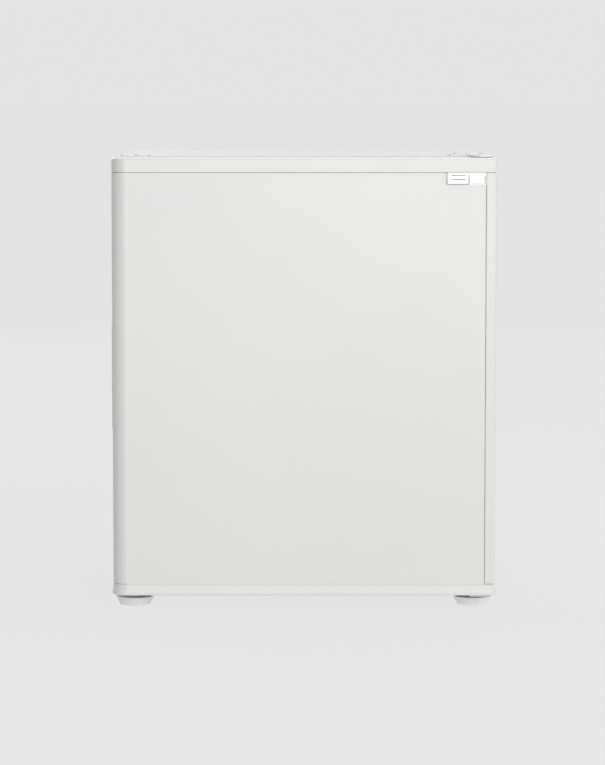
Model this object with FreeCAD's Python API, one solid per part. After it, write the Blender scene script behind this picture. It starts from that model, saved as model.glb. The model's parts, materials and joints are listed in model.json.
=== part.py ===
import FreeCAD, Part
import math
import os
from FreeCAD import Vector

# Table-top refrigerator, millimetres. +Z up, the door faces -Y, origin on the floor under the middle.

# ---- cabinet ----
CAB_W = 430.0  # outside, side to side
CAB_D = 400.0  # front flange to back sheet
FLOOR_GAP = 18.0  # floor to cabinet underside
CAB_H = 490.5  # underside to top sheet
CAB_FRONT = -188.5  # plane that the door seal meets
SHEET = 0.8  # painted steel skins
SHELL_R = 6.0  # bend between top and sides
FOLD_GAP = 0.3  # shell's rear fold to the back sheet's upper edge
FLANGE = 26.0  # width of the shell's turned-in front edge
SIDE_WALL = 32.0  # skins and foam together
TOP_WALL = 34.0
FLOOR_WALL = 30.0
BACK_WALL = 40.0
LINER = 1.2  # plastic liner
LINER_R = 10.0
BAY_D = 150.0  # compressor bay, from the back sheet
BAY_H = 153.0  # compressor bay, from the cabinet underside
BAY_WALL = 30.0  # foam between the bay and the food space
SEAM = 0.4  # visible joint between neighbouring skins
RAIL_T = 1.5
RAIL_D = 38.0
NUT_SPACE = 18.0  # height above the underside that the foam leaves free behind the front rail

# ---- door ----
DOOR_T = 41.0
DOOR_IN = 1.0  # cabinet side to door side
DOOR_UNDER = 0.7  # hinge plate to door top
DOOR_OVER = 0.5  # hinge bracket to door bottom
SEAL_T = 9.5  # door back to cabinet flange
EDGE_R = 17.0  # rounded edge on the opening side
TRIM_R = 3.0  # small edge on the hinge side
TRIM_W = 12.0
TRIM_T = 2.0
TOP_CAP_H = 16.0
BOTTOM_CAP_H = 12.5
CAP_T = 2.5
CAP_FLARE = 1.0
DOOR_LINER = 1.5
DYKE_GAP = 8.0  # between the door's raised rim and the food space walls
DYKE_W = 14.0
DYKE_H = 38.0
SEAL_W = 12.0
SEAL_INSET = 16.0  # door side to the seal's outer edge
SEAL_GAP = 0.3  # seal to cabinet flange
MAGNET_W = 7.6
MAGNET_T = 2.6
BADGE_W = 44.5
BADGE_H = 13.4
BADGE_T = 1.0
GRIP_H = 110.0
GRIP_W = 17.0
GRIP_DEEP = 17.0
GRIP_T = 1.5

# ---- hinges and feet ----
HINGE_IN = 14.0  # door side to hinge axis
HINGE_BACK = 23.0  # door front to hinge axis
PIN_R = 3.5
PIN_L = 14.0
RUNNING = 0.06  # radial clearance of a turning fit
BUSH_R = 6.5
BUSH_L = 16.0
PLATE_T = 2.0
BRACKET_T = 3.0
BRACKET_W = 38.0
BRACKET_IN = 44.5  # cabinet side to the bracket's inner edge
BRACKET_LIP = 5.0
SCREW_R = 2.5
SCREW_L = 12.0
HEAD_R = 4.5
HEAD_H = 1.5
HOLE_CLEAR = 0.1  # radial clearance round a screw's shank
FOOT_IN = 23.0  # cabinet side to foot axis
FOOT_BACK = 8.5  # cabinet front to foot axis
FOOT_R = 21.5
FOOT_BASE_R = 16.0
FOOT_H = 9.5
FOOT_HEX = 17.0  # across flats
FOOT_HEX_H = 4.0
STUD_R = 4.0
STUD_TOP = 34.0
NUT_R = 7.0
NUT_H = 7.0
REAR_FOOT_R = 14.0
REAR_FOOT_IN = 35.0  # cabinet side to rear foot axis
REAR_FOOT_BACK = 24.0  # cabinet back to rear foot axis

# ---- inside ----
LEDGE_H = 4.0
LEDGE_W = 6.0
SHELF_ROOM = 23.0  # closed door's racks to the shelves
SHELF_BACK_GAP = 5.0
SHELF_ROD = 2.6
SHELF_WIRE = 1.5
STOP_ROD = 1.9
STOP_H = 11.0  # shelf frame to the stop bar behind
SHELF_PITCH = 19.0
SHELF_SIDE_GAP = 2.2
LOWER_SHELF_LIFT = 3.0  # from the step over the bay to its ledges
EVAP_LEFT = 28.0  # food space wall to the ice box
EVAP_RIGHT = 10.0  # ice box to the thermostat housing
EVAP_REAR = 11.5  # ice box to the back wall
EVAP_H = 94.0
EVAP_T = 1.5
EVAP_HANG = 4.5  # gap to the food space ceiling
CHANNEL_R = 3.0
CHANNEL_PITCH = 32.0
FRAME_W = 6.0
FRAME_T = 8.0
EAR_W = 8.0
FLAP_T = 4.0
FLAP_PIN_R = 2.0
FLAP_GAP = 3.0
FLAP_ROOM = 24.0  # closed door to the ice box, over the flap's own height
TRAY_H = 18.0
TRAY_T = 2.0
TRAY_DROP = 6.0  # from the evaporator to the tray's rim
TRAY_REACH = 16.0  # ice box front to the tray's front wall
RAIL_LIP = 4.0
THERM_W = 78.0
THERM_D = 120.0
THERM_H = 70.0
THERM_SET = 10.0  # ice box front to the housing's front
THERM_T = 2.0
THERM_DROP = 12.5  # from the ceiling to the housing
KNOB_R = 18.0
KNOB_L = 14.0
SHAFT_R = 3.0
RACK_DEPTH = 55.0
RACK_T = 2.5
BOTTLE_RACK_H = 60.0
UPPER_RACK_H = 48.0
RACK_LIFT = 3.0  # raised rim to the bottle rack
RACK_BELOW = 12.0  # upper rack to the drip tray's path
RACK_GAP = 0.8

# ---- refrigeration ----
COMP_IN = 133.0  # cabinet side to the compressor's axis
COMP_R = 50.0
COMP_H = 118.0
COMP_BASE_T = 3.0
GROMMET_R = 9.0
GROMMET_H = 11.0
BOLT_R = 3.0
BOLT_X = 46.0
BOLT_Y = 42.0
COND_TUBE_R = 2.4
COND_WIRE_R = 0.8
COND_OUT = 14.5  # back sheet to condenser tube centre
COND_PITCH = 27.5
COND_SIDE = 50.0  # cabinet side to the bends
COND_DROP = 26.5  # cabinet top to the top run
COND_LOW = 30.0  # least height of the bottom run over the bay
JOINT_OUT = 2.0  # bends to the brazed joints at the condenser's ends
RISER_OUT = 22.0  # bends to the riser on one side and the drop on the other
WIRE_PITCH = 11.0
SPACER_BACK = 28.5  # back sheet to the wall spacers' ends
DRIER_R = 9.0
DRIER_L = 70.0
SUCTION_R = 3.2
CAPILLARY_R = 1.2
TUBE_CLEAR = 0.3

# ---- places worked out from the sizes above ----
HALF = CAB_W / 2
CAB_TOP = FLOOR_GAP + CAB_H
CAB_BACK = CAB_FRONT + CAB_D
DOOR_HALF = HALF - DOOR_IN
DOOR_BACK = CAB_FRONT - SEAL_T
DOOR_FRONT = DOOR_BACK - DOOR_T
DOOR_BOTTOM = FLOOR_GAP + DOOR_OVER
DOOR_TOP = CAB_TOP - DOOR_UNDER
GRIP_Z = (DOOR_BOTTOM + DOOR_TOP) / 2
PANEL_Z0 = DOOR_BOTTOM + BOTTOM_CAP_H
PANEL_Z1 = DOOR_TOP - TOP_CAP_H
TRIM_X = DOOR_HALF - TRIM_W + 0.5
HINGE_X = DOOR_HALF - HINGE_IN
HINGE_Y = DOOR_FRONT + HINGE_BACK
ROOM_X = HALF - SIDE_WALL
ROOM_Z0 = FLOOR_GAP + FLOOR_WALL
ROOM_Z1 = CAB_TOP - TOP_WALL
ROOM_BACK = CAB_BACK - BACK_WALL
BAY_FRONT = CAB_BACK - BAY_D
BAY_TOP = FLOOR_GAP + BAY_H
STEP_Y = BAY_FRONT - BAY_WALL
STEP_Z = BAY_TOP + BAY_WALL
SHELF_FRONT = DOOR_BACK + RACK_DEPTH + SHELF_ROOM
EVAP_X0 = EVAP_LEFT - ROOM_X
EVAP_X1 = ROOM_X - THERM_W - EVAP_RIGHT
EVAP_FRONT = DOOR_BACK + EVAP_H + FLAP_ROOM
EVAP_BACK = ROOM_BACK - EVAP_REAR
EVAP_Z1 = ROOM_Z1 - EVAP_HANG
EVAP_Z0 = EVAP_Z1 - EVAP_H
TRAY_RIM_Z = EVAP_Z0 - TRAY_DROP
TRAY_Z = TRAY_RIM_Z - TRAY_H
TRAY_FRONT = EVAP_FRONT - TRAY_REACH
THERM_FRONT = EVAP_FRONT + THERM_SET
LOWER_SHELF_Z = STEP_Z + LOWER_SHELF_LIFT
UPPER_SHELF_Z = (LOWER_SHELF_Z + TRAY_Z) / 2  # halfway up to the drip tray
DYKE_Z0 = ROOM_Z0 + DYKE_GAP + 3
DYKE_Z1 = ROOM_Z1 - DYKE_GAP
BOTTLE_RACK_Z = DYKE_Z0 + DYKE_W + RACK_LIFT
UPPER_RACK_Z = TRAY_Z - RACK_BELOW - UPPER_RACK_H
FOOT_X = HALF - FOOT_IN
FOOT_Y = CAB_FRONT + FOOT_BACK
REAR_FOOT_X = HALF - REAR_FOOT_IN
COMP_X = HALF - COMP_IN
COMP_Y = BAY_FRONT + BAY_D / 2
TRAY_FLOOR = FLOOR_GAP + PLATE_T
COMP_Z = TRAY_FLOOR + GROMMET_H + COMP_BASE_T
COND_Y = CAB_BACK + COND_OUT
COND_HALF = HALF - COND_SIDE
COND_TOP = CAB_TOP - COND_DROP
# an odd number of runs, so that the tube ends on the side away from its riser
COND_RUNS = 2 * int((COND_TOP - BAY_TOP - COND_LOW) / (2 * COND_PITCH)) + 1
SIDES = (-1, 1)


def block(x0, x1, y0, y1, z0, z1):
    """A box between two corners, given in any order."""
    low = Vector(min(x0, x1), min(y0, y1), min(z0, z1))
    return Part.makeBox(abs(x1 - x0), abs(y1 - y0), abs(z1 - z0), low)


def rod(radius, start, end):
    """A round bar from one point to another."""
    start, end = Vector(*start), Vector(*end)
    return Part.makeCylinder(radius, (end - start).Length, start, end - start)


def ring(outer, inner, start, end):
    """A sleeve from one point to another."""
    return rod(outer, start, end).cut(rod(inner, start, end))


def joined(shapes):
    """One solid made of overlapping shapes."""
    return shapes[0].multiFuse(shapes[1:]).removeSplitter()


def group(shapes):
    """Separate solids kept in one node."""
    return Part.makeCompound(shapes)


def cut_all(shape, tools):
    """The shape with every tool taken away."""
    return shape.cut(tools) if tools else shape


def turned(outline, centre_x, centre_y):
    """A solid of revolution about a vertical axis, from (radius, z) points and arc middles."""
    edges = []
    points = [p for p in outline if len(p) == 2]
    start = outline[0]
    middle = None
    for item in outline[1:]:
        if len(item) == 3:
            middle = item
            continue
        ends = [Vector(start[0], 0, start[1]), Vector(item[0], 0, item[1])]
        if middle:
            edges.append(Part.Arc(ends[0], Vector(middle[0], 0, middle[1]), ends[1]).toShape())
        else:
            edges.append(Part.LineSegment(*ends).toShape())
        start, middle = item, None
    closing = Vector(start[0], 0, start[1]), Vector(points[0][0], 0, points[0][1])
    edges.append(Part.LineSegment(*closing).toShape())
    solid = Part.Face(Part.Wire(edges)).revolve(Vector(0, 0, 0), Vector(0, 0, 1), 360)
    solid.translate(Vector(centre_x, centre_y, 0))
    return solid


def pipe(points, radius, bend):
    """A round tube along straight runs that are joined by arcs of one bend radius."""
    points = [Vector(*p) for p in points]
    edges, start = [], points[0]
    for before, corner, after in zip(points, points[1:], points[2:]):
        back, on = (before - corner).normalize(), (after - corner).normalize()
        half = back.getAngle(on) / 2
        reach = bend / math.tan(half)
        middle = corner + (back + on).normalize() * (bend / math.sin(half) - bend)
        enter, leave = corner + back * reach, corner + on * reach
        edges.append(Part.LineSegment(start, enter).toShape())
        edges.append(Part.Arc(enter, middle, leave).toShape())
        start = leave
    edges.append(Part.LineSegment(start, points[-1]).toShape())
    outline = Part.Wire(Part.Circle(points[0], points[1] - points[0], radius).toShape())
    return Part.Wire(edges).makePipeShell([outline], True, False)


def hexagon(across, x, y, z0, z1):
    """A six-sided bar standing on Z."""
    radius = across / math.sqrt(3)
    corners = [
        Vector(x + radius * math.cos(math.radians(60 * i)), y + radius * math.sin(math.radians(60 * i)), z0)
        for i in range(7)
    ]
    return Part.Face(Part.makePolygon(corners)).extrude(Vector(0, 0, z1 - z0))


# ---- cabinet skins ----
def rounded_top(inset, z0, y0, y1):
    """The cabinet's outside, inset on every side, with its two long top edges bent round."""
    body = block(-HALF + inset, HALF - inset, y0, y1, z0, CAB_TOP - inset)
    top = CAB_TOP - inset
    edges = [e for e in body.Edges if e.BoundBox.ZMin > top - 0.01 and e.BoundBox.XLength < 0.01]
    return body.makeFillet(SHELL_R - inset, edges)


def hinge_screw_places():
    """(x, y, z, direction) of every hinge and foot bracket screw, at the underside of its head."""
    places = [(x, y, CAB_TOP + PLATE_T, -1) for x, y in top_plate_holes(1)]
    for side in SIDES:
        places += [(x, y, FLOOR_GAP - BRACKET_T, 1) for x, y in bracket_holes(side)]
    return places


def top_plate_holes(side):
    """Three fixing holes of the top hinge plate."""
    back = CAB_FRONT + 34
    return [(side * (HALF - 12), back), (side * (HALF - 42), back), (side * (HALF - 27), back + 16)]


def bracket_holes(side):
    """Two fixing holes of a foot bracket, behind the foot."""
    back = FOOT_Y + 22
    inner = HALF - BRACKET_IN
    return [(side * (inner + 7), back), (side * (inner + BRACKET_W - 7), back)]


def screw(x, y, z, direction):
    """A pan head screw: the head stands on the side it is driven from."""
    head = rod(HEAD_R, (x, y, z), (x, y, z - direction * HEAD_H))
    shank = rod(SCREW_R, (x, y, z), (x, y, z + direction * SCREW_L))
    return joined([head, shank])


def shank_holes():
    """Clearance holes for the hinge screws."""
    radius = SCREW_R + HOLE_CLEAR
    return [
        rod(radius, (x, y, z - d * HEAD_H), (x, y, z + d * (SCREW_L + 0.5)))
        for x, y, z, d in hinge_screw_places()
    ]


def stud_holes():
    """Clearance for the levelling studs."""
    radius = STUD_R + 0.5
    return [
        rod(radius, (side * FOOT_X, FOOT_Y, 0), (side * FOOT_X, FOOT_Y, FLOOR_GAP + NUT_SPACE))
        for side in SIDES
    ]


def spare_hole(radius, z0, z1):
    """The hole for a top hinge screw on the side that isn't used, filled by plugs."""
    return [rod(radius, (x, y, z0), (x, y, z1)) for x, y in top_plate_holes(-1)]


def outer_shell():
    """Top and both sides in one folded sheet, turned in round the front and turned down at the back."""
    skin = rounded_top(0, FLOOR_GAP, CAB_FRONT, CAB_BACK)
    skin = skin.cut(rounded_top(SHEET, FLOOR_GAP - 1, CAB_FRONT - 1, CAB_BACK + 1))
    edge = rounded_top(0, FLOOR_GAP, CAB_FRONT, CAB_FRONT + SHEET)
    hole = block(-HALF + FLANGE, HALF - FLANGE, CAB_FRONT - 1, CAB_FRONT + 1, 0, CAB_TOP - FLANGE)
    fold = rounded_top(0, FLOOR_GAP, CAB_BACK - SHEET, CAB_BACK)
    fold = fold.cut(block(-HALF, HALF, CAB_FRONT, CAB_BACK + 1, 0, CAB_TOP - SHELL_R + FOLD_GAP))
    skin = joined([skin, edge.cut(hole), fold])
    return cut_all(skin, shank_holes() + spare_hole(SCREW_R + HOLE_CLEAR, CAB_TOP - 2, CAB_TOP + 1))


def back_panel():
    """Back sheet above the compressor bay, with a shallow stiffening frame pressed into it."""
    inner = HALF - SHEET
    low = BAY_TOP + SHEET
    sheet = block(-inner, inner, CAB_BACK - SHEET, CAB_BACK, low, CAB_TOP - SHELL_R)
    rib_x, rib_z0, rib_z1, rib = HALF - 14, low + 8, CAB_TOP - 9, 1.2
    frame = block(-rib_x, rib_x, CAB_BACK, CAB_BACK + rib, rib_z0, rib_z1)
    frame = frame.cut(block(-rib_x + 5, rib_x - 5, CAB_BACK, CAB_BACK + rib, rib_z0 + 5, rib_z1 - 5))
    return joined([sheet, frame]).cut(group(condenser_screw_holes()))


def bottom_panel():
    """Bent sheet: the cabinet floor, the riser in front of the bay and the bay's roof."""
    inner = HALF - SHEET
    floor = block(-inner, inner, CAB_FRONT + RAIL_D, BAY_FRONT, FLOOR_GAP, FLOOR_GAP + SHEET)
    riser = block(-inner, inner, BAY_FRONT - SHEET, BAY_FRONT, FLOOR_GAP, BAY_TOP + SHEET)
    roof = block(-inner, inner, BAY_FRONT - SHEET, CAB_BACK, BAY_TOP, BAY_TOP + SHEET)
    return cut_all(joined([floor, riser, roof]), tube_holes())


def front_rail():
    """Crossmember along the bottom front that carries the lower hinge and the levelling feet."""
    inner = HALF - SHEET
    face_x = HALF - FLANGE - SEAM
    face = block(-face_x, face_x, CAB_FRONT, CAB_FRONT + RAIL_T, FLOOR_GAP, FLOOR_GAP + FLANGE - 2)
    y0 = CAB_FRONT + SHEET + 0.2
    base = block(-inner, inner, y0, CAB_FRONT + RAIL_D, FLOOR_GAP, FLOOR_GAP + RAIL_T)
    return cut_all(joined([face, base]), shank_holes() + stud_holes())


# ---- liner and foam ----
def room(grow, front):
    """The food space with its step over the bay, grown outwards, from the given front plane."""
    profile = [
        (front, ROOM_Z0 - grow),
        (STEP_Y + grow, ROOM_Z0 - grow),
        (STEP_Y + grow, STEP_Z - grow),
        (ROOM_BACK + grow, STEP_Z - grow),
        (ROOM_BACK + grow, ROOM_Z1 + grow),
        (front, ROOM_Z1 + grow),
    ]
    half = ROOM_X + grow
    corners = [Vector(-half, y, z) for y, z in profile]
    body = Part.Face(Part.makePolygon(corners + corners[:1])).extrude(Vector(2 * half, 0, 0))

    def rounded(edge):
        """All edges but those of the mouth and the step's inward corner."""
        box = edge.BoundBox
        at_step = abs(box.YMin - STEP_Y - grow) < 0.1 and abs(box.ZMin - STEP_Z + grow) < 0.1
        return box.YMax > front + 0.1 and not (at_step and box.XLength > 1)

    return body.makeFillet(LINER_R + grow, [e for e in body.Edges if rounded(e)])


def liner_ledges():
    """Ribs on both side walls that the shelves slide on."""
    ribs = []
    for z in (UPPER_SHELF_Z, LOWER_SHELF_Z):
        for side in SIDES:
            wall = side * (ROOM_X + LINER / 2)
            ribs.append(block(side * (ROOM_X - LEDGE_W), wall, SHELF_FRONT, ROOM_BACK, z, z + LEDGE_H))
    return ribs


def inner_liner():
    """Vacuum-formed plastic box with a lip that covers the foam at the front."""
    lip_x = HALF - FLANGE - SEAM
    lip = block(
        -lip_x, lip_x, CAB_FRONT, CAB_FRONT + LINER, FLOOR_GAP + FLANGE - 2 + SEAM, CAB_TOP - FLANGE - SEAM
    )
    skin = joined([room(LINER, CAB_FRONT), lip]).cut(room(0, CAB_FRONT - 1))
    skin = joined([skin] + [rib.common(room(LINER / 2, CAB_FRONT)) for rib in liner_ledges()])
    return cut_all(skin, tube_holes() + evaporator_screw_holes())


def cabinet_foam():
    """Rigid foam between the skins, which also bonds them together."""
    inner = SHEET
    body = rounded_top(inner, FLOOR_GAP + SHEET, CAB_FRONT + RAIL_T + 0.2, CAB_BACK - SHEET)
    body = body.cut(block(-HALF, HALF, BAY_FRONT - SHEET, CAB_BACK, 0, BAY_TOP + SHEET))
    body = body.cut(room(LINER, CAB_FRONT - 1))
    body = body.cut(block(-HALF, HALF, CAB_FRONT, CAB_FRONT + RAIL_D, 0, FLOOR_GAP + NUT_SPACE))
    tools = shank_holes() + tube_holes() + evaporator_screw_holes() + condenser_screw_holes()
    return cut_all(body, tools + spare_hole(SCREW_R + HOLE_CLEAR, CAB_TOP - SCREW_L, CAB_TOP))


# ---- hinges, brackets, feet ----
def top_hinge_plate():
    """Flat plate on the cabinet top whose tongue reaches over the door."""
    base_y = CAB_FRONT + 20
    plate = block(HALF - 52, HALF - 3, base_y, base_y + 38, CAB_TOP, CAB_TOP + PLATE_T)
    tongue = block(HINGE_X - 13, HINGE_X + 12, HINGE_Y - 11, base_y + 1, CAB_TOP, CAB_TOP + PLATE_T)
    vertical = [e for e in plate.Edges if e.BoundBox.ZLength > PLATE_T / 2]
    tips = [
        e for e in tongue.Edges if e.BoundBox.ZLength > PLATE_T / 2 and e.BoundBox.YMax < HINGE_Y
    ]
    body = joined([plate.makeFillet(5, vertical), tongue.makeFillet(10, tips)])
    pin = rod(PIN_R, (HINGE_X, HINGE_Y, CAB_TOP - 1), (HINGE_X, HINGE_Y, CAB_TOP + PLATE_T))
    return cut_all(body, shank_holes() + [pin])


def hinge_pin(z, direction, thickness):
    """A pin riveted in a plate, reaching from the plate into the door's bush."""
    head, tip = z - direction * thickness, z + direction * PIN_L
    return rod(PIN_R, (HINGE_X, HINGE_Y, head), (HINGE_X, HINGE_Y, tip))


def foot_bracket(side, tongue):
    """Plate under the front rail with a folded lip; on the hinge side its tongue carries the door."""
    inner = HALF - BRACKET_IN
    outer = inner + BRACKET_W
    top = FLOOR_GAP
    front = FOOT_Y - 25
    back = CAB_FRONT + RAIL_D
    plate = block(side * inner, side * outer, front, back, top - BRACKET_T, top)
    lip_out = inner + BRACKET_T / 2
    lip = block(side * inner, side * lip_out, front, back, top - BRACKET_T - BRACKET_LIP, top)
    pieces = [plate, lip]
    if tongue:
        reach = block(HINGE_X - 13, HINGE_X + 8.5, HINGE_Y - 10, front + 1, top - BRACKET_T, top)
        pieces.append(reach)
    body = joined(pieces)
    pin = rod(PIN_R, (HINGE_X, HINGE_Y, 0), (HINGE_X, HINGE_Y, top))
    return cut_all(body, shank_holes() + stud_holes() + ([pin] if tongue else []))


def foot_nuts():
    """Weld nuts inside the front rail."""
    z0 = FLOOR_GAP + RAIL_T
    return group(
        [
            hexagon(2 * NUT_R, side * FOOT_X, FOOT_Y, z0, z0 + NUT_H).cut(
                rod(STUD_R + RUNNING, (side * FOOT_X, FOOT_Y, 0), (side * FOOT_X, FOOT_Y, z0 + NUT_H))
            )
            for side in SIDES
        ]
    )


def levelling_foot(side):
    """A wide plastic foot that narrows towards the floor, with a hexagon and a stud."""
    x = side * FOOT_X
    outline = [
        (0, 0),
        (FOOT_BASE_R - 1, 0),
        (FOOT_BASE_R, 1),
        (FOOT_R, FOOT_H - 3.5),
        (FOOT_R, FOOT_H - 1),
        (FOOT_R - 0.3, FOOT_H - 0.3, "arc"),
        (FOOT_R - 1, FOOT_H),
        (0, FOOT_H),
    ]
    disc = turned(outline, x, FOOT_Y)
    hexa = hexagon(FOOT_HEX, x, FOOT_Y, FOOT_H - 0.1, FOOT_H + FOOT_HEX_H)
    stud = rod(STUD_R, (x, FOOT_Y, FOOT_H), (x, FOOT_Y, STUD_TOP))
    return joined([disc, hexa, stud])


def rear_feet():
    """Fixed rubber-faced feet under the compressor tray."""
    y = CAB_BACK - REAR_FOOT_BACK
    outline = [
        (0, 0),
        (REAR_FOOT_R - 3, 0),
        (REAR_FOOT_R - 2, 1),
        (REAR_FOOT_R, FLOOR_GAP),
        (0, FLOOR_GAP),
    ]
    return group([turned(outline, side * REAR_FOOT_X, y) for side in SIDES])


# ---- compressor bay ----
def compressor_bolt_places():
    """Centres of the four compressor bolts."""
    return [(COMP_X + sx * BOLT_X, COMP_Y + sy * BOLT_Y) for sx in SIDES for sy in SIDES]


def compressor_tray():
    """Plate across the bottom of the bay with upturned edges."""
    inner = HALF - SHEET
    floor = block(-inner, inner, BAY_FRONT, CAB_BACK - SHEET, FLOOR_GAP, TRAY_FLOOR)
    front = block(-inner, inner, BAY_FRONT, BAY_FRONT + PLATE_T, FLOOR_GAP, FLOOR_GAP + 14)
    back = block(-inner, inner, CAB_BACK - SHEET - PLATE_T, CAB_BACK - SHEET, FLOOR_GAP, FLOOR_GAP + 18)
    bolts = compressor_bolt_places()
    holes = [rod(BOLT_R + HOLE_CLEAR, (x, y, 0), (x, y, TRAY_FLOOR + 1)) for x, y in bolts]
    x, z = gland_place()
    gland = rod(6.0, (x, CAB_BACK - 20, z), (x, CAB_BACK + 1, z))
    vents = [
        block(x + 20 * i, x + 20 * i + 8, COMP_Y - 40, COMP_Y + 20, FLOOR_GAP - 1, TRAY_FLOOR + 1)
        for i in range(5)
    ]
    return cut_all(joined([floor, front, back]), holes + [gland] + vents)


def gland_place():
    """Centre of the mains lead's opening in the tray's rear edge."""
    return 95.0 - HALF, FLOOR_GAP + 10.0


def cable_gland():
    """Grommet that lines the mains lead's opening."""
    x, z = gland_place()
    y = CAB_BACK - SHEET
    body = rod(6.0, (x, y - PLATE_T, z), (x, y, z))
    collars = [rod(8.0, (x, y - PLATE_T - 2, z), (x, y - PLATE_T, z)), rod(8.0, (x, y, z), (x, y + 2, z))]
    return joined([body] + collars).cut(rod(3.6, (x, y - 10, z), (x, y + 5, z)))


def compressor_base():
    """Flat legs plate under the sealed compressor."""
    plate = block(
        COMP_X - BOLT_X - 10,
        COMP_X + BOLT_X + 10,
        COMP_Y - BOLT_Y - 10,
        COMP_Y + BOLT_Y + 10,
        COMP_Z - COMP_BASE_T,
        COMP_Z,
    )
    vertical = [e for e in plate.Edges if e.BoundBox.ZLength > 1]
    plate = plate.makeFillet(9, vertical)
    holes = [rod(BOLT_R + HOLE_CLEAR, (x, y, 0), (x, y, COMP_Z + 1)) for x, y in compressor_bolt_places()]
    return cut_all(plate, holes)


def compressor_shell():
    """Sealed steel can with domed ends and a welded belt."""
    z = COMP_Z
    outline = [
        (0, z),
        (COMP_R * 0.6, z),
        (COMP_R * 0.87, z + 6, "arc"),
        (COMP_R, z + 22),
        (COMP_R, z + 56),
        (COMP_R + 3, z + 57),
        (COMP_R + 3, z + 63),
        (COMP_R, z + 64),
        (COMP_R, z + COMP_H - 30),
        (COMP_R * 0.8, z + COMP_H - 10, "arc"),
        (COMP_R * 0.4, z + COMP_H),
        (0, z + COMP_H),
    ]
    return turned(outline, COMP_X, COMP_Y)


def compressor_grommets():
    """Rubber blocks that the compressor stands on."""
    z0, z1 = TRAY_FLOOR, TRAY_FLOOR + GROMMET_H
    pieces = []
    for x, y in compressor_bolt_places():
        body = rod(GROMMET_R, (x, y, z0), (x, y, z1))
        waist = ring(GROMMET_R + 1, GROMMET_R - 2, (x, y, z0 + 4), (x, y, z0 + 7))
        pieces.append(body.cut(waist).cut(rod(BOLT_R + HOLE_CLEAR, (x, y, z0 - 1), (x, y, z1 + 1))))
    return group(pieces)


def compressor_bolts():
    """Bolts through the tray, each with its washer and nut."""
    pieces = []
    for x, y in compressor_bolt_places():
        shank = rod(BOLT_R, (x, y, FLOOR_GAP - 1), (x, y, COMP_Z + 9))
        head = hexagon(10, x, y, FLOOR_GAP - 4, FLOOR_GAP)
        washer = rod(8, (x, y, COMP_Z), (x, y, COMP_Z + 1.5))
        nut = hexagon(10, x, y, COMP_Z + 1.5, COMP_Z + 6.5)
        pieces.append(joined([shank, head, washer, nut]))
    return group(pieces)


def relay_cover():
    """Plastic cover over the start relay and overload, clipped on the side of the can."""
    x1 = COMP_X - COMP_R + 5
    cover = block(x1 - 34, x1, COMP_Y - 24, COMP_Y + 24, COMP_Z + 66, COMP_Z + 108)
    upright = [e for e in cover.Edges if e.BoundBox.ZLength > 10 and e.BoundBox.XMax < x1 - 1]
    cover = cover.makeFillet(5, upright)
    hollow = block(x1 - 32, x1 + 1, COMP_Y - 22, COMP_Y + 22, COMP_Z + 68, COMP_Z + 106)
    can = rod(COMP_R + 0.2, (COMP_X, COMP_Y, COMP_Z), (COMP_X, COMP_Y, COMP_Z + COMP_H))
    return cover.cut(hollow).cut(can)


def condenser_points():
    """Route of the condenser tube: to and fro down the back, with a brazed joint at each end."""
    points, side = [(COND_HALF + JOINT_OUT, COND_Y, COND_TOP)], -1
    for i in range(COND_RUNS):
        z = COND_TOP - i * COND_PITCH
        if i:
            points.append((-side * COND_HALF, COND_Y, z))
        points.append((side * (COND_HALF if i < COND_RUNS - 1 else COND_HALF + JOINT_OUT), COND_Y, z))
        side = -side
    return points


def condenser_tube():
    """Hot gas tube bent to and fro across the back."""
    return pipe(condenser_points(), COND_TUBE_R, COND_PITCH / 2 - 0.7)


def condenser_wires():
    """Fin wires welded in front of and behind the tube."""
    gap = COND_TUBE_R + COND_WIRE_R + 0.02
    z0, z1 = COND_TOP - (COND_RUNS - 1) * COND_PITCH - 10, COND_TOP + 10
    count = int(2 * (COND_HALF - 18) / WIRE_PITCH)
    first = -count * WIRE_PITCH / 2
    wires = []
    for i in range(count + 1):
        x = first + i * WIRE_PITCH
        for y in (COND_Y - gap, COND_Y + gap):
            wires.append(rod(COND_WIRE_R, (x, y, z0), (x, y, z1)))
    return group(wires)


def condenser_bracket_places():
    """Where the condenser is held off the back sheet."""
    low = COND_TOP - (COND_RUNS - 1) * COND_PITCH
    return [(side * (COND_HALF - 8), z) for side in SIDES for z in (COND_TOP - 12.7, low + 12.7)]


def condenser_brackets():
    """Folded clips between the back sheet and the condenser tube."""
    pieces = []
    for x, z in condenser_bracket_places():
        foot = block(x - 6, x + 6, CAB_BACK, CAB_BACK + 1.5, z - 22, z + 22)
        arm = block(x - 6, x + 6, CAB_BACK, COND_Y - COND_TUBE_R, z - 2, z + 2)
        claw = block(x - 6, x + 6, COND_Y - COND_TUBE_R - 1.5, COND_Y - COND_TUBE_R - 0.1, z - 15, z + 15)
        body = joined([foot, arm, claw])
        holes = [rod(2.1, (x, CAB_BACK - 1, z + dz), (x, CAB_BACK + 3, z + dz)) for dz in (-17, 17)]
        pieces.append(cut_all(body, holes))
    return group(pieces)


def condenser_screw_holes():
    """Holes in the back sheet and the foam behind it."""
    return [
        rod(2.1, (x, CAB_BACK - 10, z + dz), (x, CAB_BACK + 3, z + dz))
        for x, z in condenser_bracket_places()
        for dz in (-17, 17)
    ]


def condenser_screws():
    """Self-tapping screws that hold the clips."""
    pieces = []
    for x, z in condenser_bracket_places():
        for dz in (-17, 17):
            y = CAB_BACK + 1.5
            head = rod(3.6, (x, y, z + dz), (x, y + 1.6, z + dz))
            pieces.append(joined([head, rod(2.0, (x, y - 10, z + dz), (x, y + 0.1, z + dz))]))
    return group(pieces)


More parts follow.
